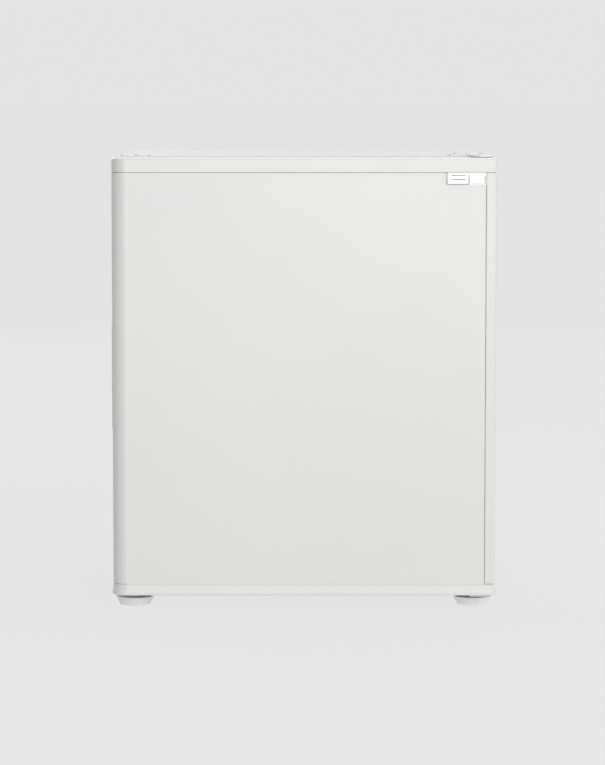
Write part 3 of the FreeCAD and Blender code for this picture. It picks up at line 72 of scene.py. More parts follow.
door_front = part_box("door_panel")[0].y
door_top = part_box("door_top_cap")[1].z
camera_data = bpy.data.cameras.new("camera")
camera_data.lens = LENS
camera_data.sensor_width = 36.0
camera_data.clip_end = SEES_TO
camera = bpy.data.objects.new("camera", camera_data)
bpy.context.scene.collection.objects.link(camera)
camera.location = (STAND_ASIDE, door_front - STAND_BACK, door_top + LOOK_OVER)
camera.rotation_euler = (math.pi / 2 - LOOK_DOWN, 0, 0)
bpy.context.scene.camera = camera
bpy.context.scene.view_settings.view_transform = "Standard"

bpy.ops.mesh.primitive_circle_add(vertices=96, radius=FLOOR_REACH, fill_type="NGON", location=(0, 0, 0))
floor = bpy.context.active_object
floor.name = "floor_sheet"
floor_finish = bpy.data.materials.new("floor_sheet")
floor_finish.use_nodes = True
tree = floor_finish.node_tree
seen = tree.nodes["Principled BSDF"]
lighting = tree.nodes.new("ShaderNodeBsdfPrincipled")
for shader, glow in ((seen, FLOOR_SEEN), (lighting, FLOOR_LIGHTS)):
    shader.inputs["Base Color"].default_value = (FLOOR_TONE, FLOOR_TONE, FLOOR_TONE, 1)
    shader.inputs["Roughness"].default_value = 0.9
    shader.inputs["Specular IOR Level"].default_value = 0.0
    shader.inputs["Emission Color"].default_value = (1, 1, 1, 1)
    shader.inputs["Emission Strength"].default_value = glow
path = tree.nodes.new("ShaderNodeLightPath")
blend = tree.nodes.new("ShaderNodeMixShader")
tree.links.new(path.outputs["Is Camera Ray"], blend.inputs["Fac"])
tree.links.new(lighting.outputs["BSDF"], blend.inputs[1])
tree.links.new(seen.outputs["BSDF"], blend.inputs[2])
tree.links.new(blend.outputs["Shader"], tree.nodes["Material Output"].inputs["Surface"])
floor.data.materials.append(floor_finish)

world = bpy.data.worlds.new("studio")
world.use_nodes = True
bpy.context.scene.world = world
tree = world.node_tree
backdrop = tree.nodes["Background"]
backdrop.inputs["Color"].default_value = (ROOM_GREY, ROOM_GREY, ROOM_GREY, 1)
ambient = tree.nodes.new("ShaderNodeBackground")
direction = tree.nodes.new("ShaderNodeTexCoord")
towards = tree.nodes.new("ShaderNodeVectorMath")
towards.operation = "DOT_PRODUCT"
towards.inputs[1].default_value = BRIGHT_SIDE
spread = tree.nodes.new("ShaderNodeMapRange")
spread.interpolation_type = "SMOOTHSTEP"
spread.inputs["From Min"].default_value, spread.inputs["From Max"].default_value = AMBIENT_SPREAD
spread.inputs["To Min"].default_value, spread.inputs["To Max"].default_value = AMBIENT
tree.links.new(direction.outputs["Generated"], towards.inputs[0])
tree.links.new(towards.outputs["Value"], spread.inputs["Value"])
tree.links.new(spread.outputs["Result"], ambient.inputs["Strength"])
path = tree.nodes.new("ShaderNodeLightPath")
blend = tree.nodes.new("ShaderNodeMixShader")
tree.links.new(path.outputs["Is Camera Ray"], blend.inputs["Fac"])
tree.links.new(ambient.outputs["Background"], blend.inputs[1])
tree.links.new(backdrop.outputs["Background"], blend.inputs[2])
tree.links.new(blend.outputs["Shader"], tree.nodes["World Output"].inputs["Surface"])


def lamp(name, place, aim, size, power, tint=(1, 1, 1)):
    """A square soft lamp at one place, turned towards another."""
    data = bpy.data.lights.new(name, "AREA")
    data.size = size
    data.energy = power
    data.color = tint
    lamp_object = bpy.data.objects.new(name, data)
    bpy.context.scene.collection.objects.link(lamp_object)
    lamp_object.location = place
    lamp_object.rotation_euler = (Vector(aim) - Vector(place)).to_track_quat("-Z", "Y").to_euler()


lamp("front_lamp", place=(2.3, -3.9, 2.3), aim=MIDDLE, size=2.8, power=79, tint=(1.0, 0.995, 0.98))
lamp("low_lamp", place=(0.2, -4.4, 0.5), aim=MIDDLE, size=2.2, power=64)
lamp("top_lamp", place=(0.3, 0.4, 3.0), aim=MIDDLE, size=2.4, power=38)
lamp("back_lamp", place=(-1.6, 3.2, 1.6), aim=MIDDLE, size=2.2, power=30)


# ==== Outer shell: top and sides ====
# One sheet of painted steel, folded down both sides, and at the back down to the zinc sheet.
# Its enamel is sprayed and baked, and has the faint orange peel of a sprayed coat.
def new_group(name, inputs, outputs):
    """A shader group with its sockets, and its two end nodes."""
    group = bpy.data.node_groups.new(name, "ShaderNodeTree")
    for label, kind, value in inputs:
        socket = group.interface.new_socket(label, in_out="INPUT", socket_type=kind)
        if value is not None:
            socket.default_value = value
    for label, kind in outputs:
        group.interface.new_socket(label, in_out="OUTPUT", socket_type=kind)
    return group, group.nodes.new("NodeGroupInput"), group.nodes.new("NodeGroupOutput")


def noise(group, ends, scale_socket, detail):
    """A noise pattern inside a group, at the scale that the group is given."""
    node = group.nodes.new("ShaderNodeTexNoise")
    node.inputs["Detail"].default_value = detail
    group.links.new(ends.outputs["Place"], node.inputs["Vector"])
    group.links.new(ends.outputs[scale_socket], node.inputs["Scale"])
    return node.outputs["Fac"]


def stretched(group, ends, value, low_socket, high_socket, low=0.3, high=0.7):
    """Turns a noise value into a range between two of the group's own values."""
    node = group.nodes.new("ShaderNodeMapRange")
    node.inputs["From Min"].default_value = low
    node.inputs["From Max"].default_value = high
    group.links.new(value, node.inputs["Value"])
    group.links.new(ends.outputs[low_socket], node.inputs["To Min"])
    group.links.new(ends.outputs[high_socket], node.inputs["To Max"])
    return node.outputs["Result"]


MIX_FIRST, MIX_SECOND, MIX_RESULT = 6, 7, 2  # the colour sockets of a Mix node


def toned(group, ends, value, contrast=(0.25, 0.75)):
    """Blends the group's two colours by a pattern value."""
    spread = group.nodes.new("ShaderNodeMapRange")
    spread.inputs["From Min"].default_value, spread.inputs["From Max"].default_value = contrast
    group.links.new(value, spread.inputs["Value"])
    mix = group.nodes.new("ShaderNodeMix")
    mix.data_type = "RGBA"
    group.links.new(spread.outputs["Result"], mix.inputs["Factor"])
    group.links.new(ends.outputs["Tone"], mix.inputs[MIX_FIRST])
    group.links.new(ends.outputs["Shade"], mix.inputs[MIX_SECOND])
    return mix.outputs[MIX_RESULT]


COLOUR, NUMBER = "NodeSocketColor", "NodeSocketFloat"
SURFACE_IN = [
    ("Place", "NodeSocketVector", None),
    ("Tone", COLOUR, (0.8, 0.8, 0.8, 1)),
    ("Shade", COLOUR, (0.7, 0.7, 0.7, 1)),
    ("Patch Scale", NUMBER, 12.0),
    ("Grain Scale", NUMBER, 900.0),
    ("Smooth", NUMBER, 0.3),
    ("Dull", NUMBER, 0.4),
]
SURFACE_OUT = [("Colour", COLOUR), ("Roughness", NUMBER), ("Height", NUMBER)]

# sprayed and moulded skins: slow drift of tone and gloss, and a fine even grain
coated, start, end = new_group("coated_skin", SURFACE_IN, SURFACE_OUT)
drift = noise(coated, start, "Patch Scale", 3.0)
grain = noise(coated, start, "Grain Scale", 2.0)
coated.links.new(toned(coated, start, drift), end.inputs["Colour"])
coated.links.new(stretched(coated, start, drift, "Smooth", "Dull"), end.inputs["Roughness"])
coated.links.new(grain, end.inputs["Height"])

# zinc: flat crystals, each with its own tone and gloss, under a fine grain
crystal, start, end = new_group("crystal_metal", SURFACE_IN, SURFACE_OUT)
cells = crystal.nodes.new("ShaderNodeTexVoronoi")
cells.inputs["Randomness"].default_value = 1.0
crystal.links.new(start.outputs["Place"], cells.inputs["Vector"])
crystal.links.new(start.outputs["Patch Scale"], cells.inputs["Scale"])
tint = crystal.nodes.new("ShaderNodeSeparateColor")
crystal.links.new(cells.outputs["Color"], tint.inputs["Color"])
fine = noise(crystal, start, "Grain Scale", 3.0)
crystal.links.new(toned(crystal, start, tint.outputs["Red"], (0.0, 1.0)), end.inputs["Colour"])
gloss = stretched(crystal, start, tint.outputs["Green"], "Smooth", "Dull", 0.0, 1.0)
crystal.links.new(gloss, end.inputs["Roughness"])
crystal.links.new(fine, end.inputs["Height"])


def finish(name, group, tone, shade, patch, grain, gloss, depth, stretch=(1, 1, 1), **settings):
    """A material: a surface group on object coordinates, its bump, and a shader with plain settings."""
    made = bpy.data.materials.new(name)
    made.use_nodes = True
    tree = made.node_tree
    shader = tree.nodes["Principled BSDF"]
    place = tree.nodes.new("ShaderNodeTexCoord")
    mapping = tree.nodes.new("ShaderNodeMapping")
    mapping.inputs["Scale"].default_value = stretch
    skin = tree.nodes.new("ShaderNodeGroup")
    skin.node_tree = group
    bump = tree.nodes.new("ShaderNodeBump")
    bump.inputs["Distance"].default_value = depth
    tree.links.new(place.outputs["Object"], mapping.inputs["Vector"])
    tree.links.new(mapping.outputs["Vector"], skin.inputs["Place"])
    skin.inputs["Tone"].default_value = (*tone, 1)
    skin.inputs["Shade"].default_value = (*shade, 1)
    skin.inputs["Patch Scale"].default_value = patch
    skin.inputs["Grain Scale"].default_value = grain
    skin.inputs["Smooth"].default_value, skin.inputs["Dull"].default_value = gloss
    tree.links.new(skin.outputs["Colour"], shader.inputs["Base Color"])
    tree.links.new(skin.outputs["Roughness"], shader.inputs["Roughness"])
    tree.links.new(skin.outputs["Height"], bump.inputs["Height"])
    tree.links.new(bump.outputs["Normal"], shader.inputs["Normal"])
    for socket, value in settings.items():
        shader.inputs[socket.replace("_", " ")].default_value = value
    return made


def wear(material, *names):
    """Gives frame nodes a finish through their own material slots."""
    for name in names:
        for slot in nodes[name].material_slots:
            slot.material = material


def make_active(piece):
    """Leaves this piece alone selected."""
    if bpy.context.object and bpy.context.object.mode != "OBJECT":
        bpy.ops.object.mode_set(mode="OBJECT")
    bpy.ops.object.select_all(action="DESELECT")
    piece.select_set(True)
    bpy.context.view_layer.objects.active = piece


def apply_modifier(piece, kind, **settings):
    """Adds a modifier with its settings and applies it."""
    make_active(piece)
    modifier = piece.modifiers.new(kind.lower(), kind)
    for label, value in settings.items():
        setattr(modifier, label, value)
    bpy.ops.object.modifier_apply(modifier=modifier.name)


def ease(piece, width, segments=2, angle=32):
    """Rounds every edge sharper than an angle, and shades the piece so that flat faces stay flat."""
    apply_modifier(
        piece, "BEVEL", width=width, segments=segments, limit_method="ANGLE", angle_limit=math.radians(angle)
    )
    bpy.ops.object.shade_smooth_by_angle(angle=math.radians(angle))
    apply_modifier(piece, "WEIGHTED_NORMAL", keep_sharp=True)


def settle(piece, material, body, slot=None, *stands_for):
    """Gives a finished piece its material and body, and hides the nodes it stands for, if any. The slot is
    not used.
    """
    make_active(piece)
    piece.data.materials.clear()
    piece.data.materials.append(material)
    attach(piece, body)
    if stands_for:
        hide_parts(*stands_for)


WELD = 2e-5  # corners nearer than this are one
FLAT_WITHIN = math.radians(0.5)  # triangles nearer to one plane than this are one face


def welded_copy(node, name):
    """A copy of a frame node whose triangles are joined into whole faces."""
    piece = bpy.data.objects.new(name, nodes[node].data.copy())
    bpy.context.scene.collection.objects.link(piece)
    make_active(piece)
    bpy.ops.mesh.customdata_custom_splitnormals_clear()
    bpy.ops.object.mode_set(mode="EDIT")
    bpy.ops.mesh.select_all(action="SELECT")
    bpy.ops.mesh.remove_doubles(threshold=WELD)
    bpy.ops.mesh.dissolve_limited(angle_limit=FLAT_WITHIN)
    bpy.ops.object.mode_set(mode="OBJECT")
    return piece


def eased_copy(node, material, body, slot, width, segments=2, angle=32):
    """Stands for a folded or moulded node with a copy that has its edges rounded."""
    piece = welded_copy(node, node + "_finished")
    ease(piece, width, segments, angle)
    settle(piece, material, body, slot, node)
    return piece


cabinet_paint = finish(
    "cabinet_paint", coated, tone=(0.80, 0.80, 0.785), shade=(0.775, 0.775, 0.76),
    patch=5.0, grain=700.0, gloss=(0.30, 0.38), depth=0.00006,
    Coat_Weight=0.25, Coat_Roughness=0.18, Specular_IOR_Level=0.45,
)
eased_copy("outer_shell", cabinet_paint, "cabinet", "cabinet_paint", 0.0007, 3)


# ==== Back and bottom sheets, front rail ====
# Galvanised steel closes the back and the underside; the front rail is painted like the shell.
# The zinc shows flat crystals a few millimetres across, and a dull fine grain.
galvanised = finish(
    "galvanised", crystal, tone=(0.56, 0.58, 0.60), shade=(0.46, 0.48, 0.50),
    patch=140.0, grain=1500.0, gloss=(0.34, 0.52), depth=0.00003,
    Metallic=0.9,
)
for node in ("back_panel", "bottom_panel"):
    eased_copy(node, galvanised, "cabinet", "galvanised", 0.0004)
eased_copy("front_rail", cabinet_paint, "cabinet", "cabinet_paint", 0.0004)


# ==== Foam in the walls and in the door ====
# Rigid polyurethane foam, poured in and set, which bonds the skins together.
# It only shows at the open edge of a hole, as pale yellow cells.
foam = finish(
    "foam", coated, tone=(0.80, 0.70, 0.46), shade=(0.70, 0.58, 0.34),
    patch=30.0, grain=1400.0, gloss=(0.85, 0.95), depth=0.0004,
    Specular_IOR_Level=0.2,
)
wear(foam, "cabinet_foam", "door_foam")


# ==== Inner liner and door liner ====
# Glossy white plastic sheets, drawn by vacuum over a mould, so every edge is round.
# The ledges for the shelves and the door's raised rim are drawn in the same sheet.
liner_plastic = finish(
    "liner_plastic", coated, tone=(0.84, 0.84, 0.83), shade=(0.81, 0.81, 0.80),
    patch=7.0, grain=420.0, gloss=(0.32, 0.42), depth=0.00005,
    Specular_IOR_Level=0.45,
)
eased_copy("inner_liner", liner_plastic, "cabinet", "liner_plastic", 0.0009, 3)
eased_copy("door_liner", liner_plastic, "door", "liner_plastic", 0.0012, 4)


# ==== Hinge plates, foot bracket, pins and screws ====
# Pressed steel plates are screwed to the cabinet; the top one is painted, the lower ones are zinc plated.
# Two of them carry a riveted pin. The screws' heads are painted over with the top plate.
hinge_paint = finish(
    "hinge_paint", coated, tone=(0.81, 0.81, 0.795), shade=(0.79, 0.79, 0.775),
    patch=20.0, grain=900.0, gloss=(0.32, 0.42), depth=0.00006,
    Coat_Weight=0.2, Coat_Roughness=0.2,
)
zinc_plate = finish(
    "zinc_plate", coated, tone=(0.62, 0.62, 0.60), shade=(0.50, 0.50, 0.50),
    patch=60.0, grain=2200.0, gloss=(0.24, 0.40), depth=0.00003,
    Metallic=0.95,
)
eased_copy("top_hinge_plate", hinge_paint, "cabinet", "hinge_paint", 0.0005, 3)
eased_copy("bottom_hinge_bracket", zinc_plate, "cabinet", "zinc_plate", 0.0004, 3)
eased_copy("left_foot_bracket", zinc_plate, "cabinet", "zinc_plate", 0.0004, 3)
wear(hinge_paint, "hinge_screws")
wear(
    zinc_plate, "hinge_pins", "foot_nuts", "condenser_screws", "evaporator_screws", "compressor_bolts",
    "thermostat_switch",
)


# ==== Levelling feet ====
# A wide white foot of hard plastic, moulded in one with its stud and screwed into the nut of its bracket.
# It narrows towards the floor, has shallow flutes for the fingers, and a hexagon for a spanner on top.
foot_plastic = finish(
    "foot_plastic", coated, tone=(0.93, 0.93, 0.92), shade=(0.90, 0.90, 0.89),
    patch=40.0, grain=1100.0, gloss=(0.36, 0.48), depth=0.00008,
)
FLUTES = 24
FLUTE_DEEP = 0.00025
FOOT_NARROWS = 0.79  # floor radius over the widest radius
FLANGE_UP = 0.0095
HEXAGON_UP = 0.0135
HEXAGON_ACROSS = 0.013
STUD_RADIUS = 0.004
SUNK = 0.001  # a piece's hidden reach into the one below it
NEAR = 1e-4


def pick(piece, kind, wanted):
    """In edit mode, selects the piece's faces, edges or vertices for which a test is true."""
    if bpy.context.object.mode != "EDIT":
        make_active(piece)
        bpy.ops.object.mode_set(mode="EDIT")
    bpy.ops.mesh.select_mode(type=kind)
    bpy.ops.mesh.select_all(action="DESELECT")
    mesh = bmesh.from_edit_mesh(piece.data)
    mesh.normal_update()
    for item in {"FACE": mesh.faces, "EDGE": mesh.edges, "VERT": mesh.verts}[kind]:
        if wanted(item):
            item.select_set(True)
    bmesh.update_edit_mesh(piece.data)


def halfway(edge):
    """The middle of an edge."""
    return (edge.verts[0].co + edge.verts[1].co) / 2


def along(edge, axis):
    """Whether an edge runs along an axis, 0 for X, 1 for Y or 2 for Z."""
    run = edge.verts[1].co - edge.verts[0].co
    return abs(run[axis]) > 0.98 * run.length


def placed(piece, name):
    """Names a new primitive and puts its place in its mesh."""
    piece.name = piece.data.name = name
    bpy.ops.object.transform_apply(location=True, rotation=True, scale=True)
    return piece


def start_rod(name, centre, radius, low, high, vertices=48, axis=2):
    """A round bar about an axis, between two places on it."""
    bpy.ops.object.select_all(action="DESELECT")
    place = list(centre)
    place[axis] = (low + high) / 2
    turn = {0: (0, math.pi / 2, 0), 1: (math.pi / 2, 0, 0), 2: (0, 0, 0)}[axis]
    bpy.ops.mesh.primitive_cylinder_add(
        vertices=vertices, radius=radius, depth=high - low, location=place, rotation=turn
    )
    return placed(bpy.context.active_object, name)


def start_block(name, low, high):
    """A box between two corners."""
    bpy.ops.object.select_all(action="DESELECT")
    place = [(a + b) / 2 for a, b in zip(low, high)]
    size = [b - a for a, b in zip(low, high)]
    bpy.ops.mesh.primitive_cube_add(size=1, location=place, scale=size)
    return placed(bpy.context.active_object, name)


def finish_editing():
    """Back to object mode."""
    bpy.ops.object.mode_set(mode="OBJECT")


def united(pieces, name):
    """One object that holds several finished meshes."""
    make_active(pieces[0])
    for piece in pieces:
        piece.select_set(True)
    bpy.ops.object.join()
    pieces[0].name = pieces[0].data.name = name
    return pieces[0]


def fluted_foot(node, body):
    """One levelling foot with its hexagon and stud, standing for a frame node."""
    low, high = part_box(node)
    centre = (low + high) / 2
    radius = (high.x - low.x) / 2
    base = start_rod(node + "_base", centre, radius, low.z, low.z + FLANGE_UP, FLUTES * 4)

    def in_flute(face):
        middle = face.calc_center_median() - centre
        turn = math.atan2(middle.y, middle.x) / (2 * math.pi) * FLUTES
        return abs(face.normal.z) < 0.5 and (turn - math.floor(turn)) < 0.5

    pick(base, "FACE", in_flute)
    bpy.ops.mesh.extrude_region_shrink_fatten(TRANSFORM_OT_shrink_fatten={"value": FLUTE_DEEP})
    pick(base, "VERT", lambda v: v.co.z < low.z + NEAR)
    narrowed = (FOOT_NARROWS, FOOT_NARROWS, 1)
    bpy.ops.transform.resize(value=narrowed, center_override=(centre.x, centre.y, low.z))
    finish_editing()
    ease(base, 0.0007, 3, 40)
    corner = HEXAGON_ACROSS / math.sqrt(3)
    nut = start_rod(node + "_hexagon", centre, corner, low.z + FLANGE_UP - SUNK, HEXAGON_UP, 6)
    ease(nut, 0.0004)
    stud = start_rod(node + "_stud", centre, STUD_RADIUS, HEXAGON_UP - SUNK, high.z, 32)
    ease(stud, 0.0005)
    piece = united([base, nut, stud], node + "_fluted")
    settle(piece, foot_plastic, body, "foot_plastic", node)


fluted_foot("foot_left", "levelling_foot_left")
fluted_foot("foot_right", "levelling_foot_right")


# ==== Small plastic and rubber fittings of the cabinet ====
# Plugs close the unused hinge holes, and plain rubber feet carry the back.
# The gland and the compressor's grommets are the same rubber, and the wall spacers are black plastic.
white_plastic = finish(
    "white_plastic", coated, tone=(0.82, 0.82, 0.81), shade=(0.78, 0.78, 0.77),
    patch=18.0, grain=1300.0, gloss=(0.34, 0.44), depth=0.00008,
)
black_rubber = finish(
    "black_rubber", coated, tone=(0.028, 0.028, 0.028), shade=(0.045, 0.044, 0.042),
    patch=50.0, grain=1500.0, gloss=(0.62, 0.8), depth=0.0001,
)
black_plastic = finish(
    "black_plastic", coated, tone=(0.030, 0.030, 0.031), shade=(0.044, 0.044, 0.045),
    patch=30.0, grain=1600.0, gloss=(0.42, 0.55), depth=0.00009,
)
wear(white_plastic, "hinge_hole_plugs")
eased_copy("rear_feet", black_rubber, "cabinet", "black_rubber", 0.0008, 3)
eased_copy("cable_gland", black_rubber, "cabinet", "black_rubber", 0.0005)
eased_copy("compressor_grommets", black_rubber, "cabinet", "black_rubber", 0.0006)
eased_copy("wall_spacers", black_plastic, "cabinet", "black_plastic", 0.0006)


# ==== Compressor and its plate ====
# Two drawn steel cups are welded into one can, with the weld's lip round its waist, and enamelled black.
# It stands on a pressed plate over four rubber grommets, with a relay cover clipped to its side.
black_enamel = finish(
    "black_enamel", coated, tone=(0.022, 0.022, 0.023), shade=(0.034, 0.034, 0.035),
    patch=26.0, grain=800.0, gloss=(0.22, 0.36), depth=0.0001,
    Coat_Weight=0.4, Coat_Roughness=0.12,
)
LIP_OUT = 0.0024
LIP_HALF = 0.0016
WAIST_UP = 0.46  # the weld's height over the can's
WAIST_HALF = 0.012
DOME = 0.372  # a cup's end depth over the can's radius
DOME_CLOSES = 0.94
DOME_SWEEP = math.radians(84)
ARC_STEPS = 12
CAN_SIDES = 72


def ringed(centre, from_radius, to_radius, rise):
    """Extrudes the selected end of a turned piece up or down to a new radius."""
    bpy.ops.mesh.extrude_region_move(TRANSFORM_OT_translate={"value": (0, 0, rise)})
    ratio = to_radius / from_radius
    bpy.ops.transform.resize(value=(ratio, ratio, 1), center_override=(centre.x, centre.y, 0))


low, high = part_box("compressor_shell")
centre = (low + high) / 2
full = (high.x - low.x) / 2
wall = full - LIP_OUT
dome = wall * DOME
waist = low.z + (high.z - low.z) * WAIST_UP
can = start_rod("compressor_can", centre, wall, waist - WAIST_HALF, waist + WAIST_HALF, CAN_SIDES)
for sign, end in ((1, high.z), (-1, low.z)):
    pick(can, "FACE", lambda f, sign=sign: f.normal.z * sign > 0.9)
    radius = wall
    straight = abs(end - waist) - WAIST_HALF - dome
    ringed(centre, radius, radius, sign * straight)
    for step in range(1, ARC_STEPS + 1):
        swing = step / ARC_STEPS * DOME_SWEEP
        new_radius = wall - wall * DOME_CLOSES * (1 - math.cos(swing))
        rise = math.sin(swing) - math.sin(swing - DOME_SWEEP / ARC_STEPS)
        ringed(centre, radius, new_radius, sign * dome * rise / math.sin(DOME_SWEEP))
        radius = new_radius
finish_editing()
lip = start_rod("weld_lip", centre, full, waist - LIP_HALF, waist + LIP_HALF, CAN_SIDES)
ease(lip, 0.0009, 3)
make_active(can)
bpy.ops.object.shade_smooth_by_angle(angle=math.radians(35))
settle(united([can, lip], "compressor_can"), black_enamel, "cabinet", "black_enamel", "compressor_shell")
eased_copy("compressor_base", black_enamel, "cabinet", "black_enamel", 0.0005)
eased_copy("relay_cover", black_plastic, "cabinet", "black_plastic", 0.0014, 3)
eased_copy("compressor_tray", galvanised, "cabinet", "galvanised", 0.0004)


# ==== Condenser ====
# One steel tube bent to and fro, with fin wires welded across both faces, all dipped in black enamel.
# Folded clips hold it off the back sheet.
condenser_enamel = finish(
    "condenser_enamel", coated, tone=(0.030, 0.030, 0.033), shade=(0.048, 0.048, 0.050),
    patch=60.0, grain=1800.0, gloss=(0.30, 0.48), depth=0.00008,
    Coat_Weight=0.2, Coat_Roughness=0.25,
)
wear(condenser_enamel, "condenser_tube", "condenser_wires", "condenser_brackets")


# ==== Refrigerant lines ====
# Soft copper, bent by hand and brazed: lines, drier cartridge, capillary and the sealed filling stub.
# It has darkened a little, in patches.
copper = finish(
    "copper", coated, tone=(0.74, 0.38, 0.24), shade=(0.52, 0.25, 0.15),
    patch=34.0, grain=2400.0, gloss=(0.24, 0.46), depth=0.00003,
    Metallic=1.0,
)
wear(
    copper, "process_tube", "discharge_tube", "liquid_line", "filter_drier", "capillary_tube",
    "suction_tube", "thermostat_bulb",
)


# ==== Ice box, its frame and its flap ====
# The ice box is roll-bonded aluminium sheet bent into a tube, with the refrigerant channel raised in it.
# A white plastic frame closes its front edge and carries a frosted flap on two pins, over the drip tray.
aluminium = finish(
    "aluminium", coated, tone=(0.80, 0.81, 0.82), shade=(0.72, 0.73, 0.75),
    patch=22.0, grain=2600.0, gloss=(0.26, 0.42), depth=0.00004,
    stretch=(0.12, 1, 1), Metallic=1.0,
)
flap_plastic = finish(
    "flap_plastic", coated, tone=(0.76, 0.83, 0.89), shade=(0.70, 0.78, 0.86),
    patch=14.0, grain=900.0, gloss=(0.16, 0.26), depth=0.00005,
    Transmission_Weight=0.35, IOR=1.49, Coat_Weight=0.2, Coat_Roughness=0.1,
)
tray_plastic = finish(
    "tray_plastic", coated, tone=(0.82, 0.85, 0.88), shade=(0.78, 0.81, 0.85),
    patch=16.0, grain=900.0, gloss=(0.28, 0.38), depth=0.00005,
)
eased_copy("evaporator_box", aluminium, "cabinet", "aluminium", 0.0004)
eased_copy("ice_box_frame", white_plastic, "cabinet", "white_plastic", 0.0010, 3)
eased_copy("ice_door", flap_plastic, "ice_flap", "flap_plastic", 0.0009, 3)
eased_copy("drip_tray", tray_plastic, "melt_tray", "tray_plastic", 0.0003)
eased_copy("tray_rails", white_plastic, "cabinet", "white_plastic", 0.0006)


# ==== Thermostat ====
# A white moulded housing screwed to the liner's roof and wall, with a grey knob on the switch's shaft.
# The knob turns through figures printed on the housing's face.
knob_plastic = finish(
    "knob_plastic", coated, tone=(0.60, 0.60, 0.59), shade=(0.54, 0.54, 0.53),
    patch=50.0, grain=1400.0, gloss=(0.34, 0.44), depth=0.00008,
)
eased_copy("thermostat_housing", white_plastic, "cabinet", "white_plastic", 0.0014, 3)
eased_copy("thermostat_knob", knob_plastic, "knob", "knob_plastic", 0.0007, 3)


# ==== Printing on the thermostat ====
# The figures 0 to 5 stand round the knob, a sixth of a turn apart, and 0 is off.
# A line on the finger bar points to them.
dial_ink = finish(
    "dial_ink", coated, tone=(0.10, 0.11, 0.13), shade=(0.15, 0.16, 0.18),
    patch=120.0, grain=3000.0, gloss=(0.45, 0.6), depth=0.00002,
)
FIGURES = 6
FIGURE_TALL = 0.006
FIGURE_THICK = 0.00015
FIGURES_OUT = 0.0255
POINTER = (0.0006, 0.006, 0.013)  # half its width, and its two ends from the middle


def figure(text, x, y, z):
    """One printed figure as a mesh, centred at a place on a face that looks to the front."""
    bpy.ops.object.select_all(action="DESELECT")
    bpy.ops.object.text_add(location=(0, 0, 0))
    sign = bpy.context.active_object
    sign.data.body = text
    sign.data.size = FIGURE_TALL
    sign.data.extrude = FIGURE_THICK
    sign.data.align_x = "CENTER"
    sign.data.align_y = "CENTER"
    bpy.ops.object.convert(target="MESH")
    sign.rotation_euler = (math.pi / 2, 0, 0)
    sign.location = (x, y, z)
    return placed(sign, "figure_" + text)


knob_low, knob_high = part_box("thermostat_knob")
knob_middle = (knob_low + knob_high) / 2
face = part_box("thermostat_housing")[0].y
figures = []
for number in range(FIGURES):
    turn = 2 * math.pi * number / FIGURES
    across = knob_middle.x + FIGURES_OUT * math.sin(turn)
    up = knob_middle.z + FIGURES_OUT * math.cos(turn)
    figures.append(figure(str(number), across, face, up))
settle(united(figures, "dial_figures"), dial_ink, "cabinet")
half, near, far = POINTER
pointer = start_block(
    "knob_pointer", (knob_middle.x - half, knob_low.y - FIGURE_THICK, knob_middle.z + near),
    (knob_middle.x + half, knob_low.y + FIGURE_THICK, knob_middle.z + far),
)
settle(pointer, dial_ink, "knob")


# ==== Wire shelves ====
# Steel rod and wire, welded and dipped in white plastic that rounds every joint.
# They lie on the liner's ledges, with a stop bar at the back.
shelf_coating = finish(
    "shelf_coating", coated, tone=(0.83, 0.83, 0.83), shade=(0.79, 0.79, 0.79),
    patch=40.0, grain=1300.0, gloss=(0.22, 0.34), depth=0.00008,
    Coat_Weight=0.3, Coat_Roughness=0.15,
)
wear(shelf_coating, "upper_shelf", "lower_shelf")


# ==== Door panel ====
# Painted steel sheet: the flat front, the rounded opening edge, and a narrow return at the hinge side.
# Its upper edge is turned in over the foam, so the seam there is a small round groove.
door_paint = finish(
    "door_paint", coated, tone=(0.815, 0.815, 0.795), shade=(0.795, 0.797, 0.782),
    patch=4.0, grain=700.0, gloss=(0.34, 0.42), depth=0.00005,
    Coat_Weight=0.2, Coat_Roughness=0.22, Specular_IOR_Level=0.4,
)
EDGE_RADIUS = 0.017
HEMMED = 0.0016  # the sheet with its turned-in hem
RETURN = 0.010
FOLD = 0.0014
HEM_ROUND = 0.0007
GRIP_INSIDE = (0.0006, 0.0025)  # the sheet's cut inside the grip's flange, at its sides and its ends
CUT_PAST = 0.01


def upright_at(edge, at_side, front):
    """Whether an edge is upright, on the wanted side, and at the front."""
    return along(edge, 2) and at_side and halfway(edge).y < front + NEAR


def rounded_opening_edge(piece, low):
    """Rounds a door piece's upright edge on the opening side."""
    pick(piece, "EDGE", lambda e: upright_at(e, halfway(e).x < low.x + NEAR, low.y))
    bpy.ops.mesh.bevel(offset=EDGE_RADIUS, offset_type="OFFSET", segments=18, affect="EDGES")


low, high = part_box("door_panel")
grip_low, grip_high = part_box("grip_insert")
panel = start_block("door_skin", low, high)
pick(panel, "FACE", lambda f: f.normal.y > 0.5 or abs(f.normal.z) > 0.5 or f.normal.x > 0.5)
bpy.ops.mesh.delete(type="FACE")
pick(panel, "EDGE", lambda e: along(e, 2) and halfway(e).x > high.x - NEAR)
bpy.ops.mesh.extrude_region_move(TRANSFORM_OT_translate={"value": (0, RETURN, 0)})
pick(panel, "EDGE", lambda e: upright_at(e, halfway(e).x > high.x - NEAR, low.y))
bpy.ops.mesh.bevel(offset=FOLD, segments=5, affect="EDGES")
rounded_opening_edge(panel, low)
finish_editing()
apply_modifier(panel, "SOLIDIFY", thickness=HEMMED, offset=-1.0, use_even_offset=True)
round_middle = Vector((low.x + EDGE_RADIUS, low.y + EDGE_RADIUS))


def on_skin(vertex):
    """Whether a vertex of the panel is on its outer side."""
    out = vertex.co.xy - round_middle
    if out.x < 0 and out.y < 0:
        return out.length > EDGE_RADIUS - NEAR
    return vertex.co.x < low.x + NEAR or vertex.co.y < low.y + NEAR


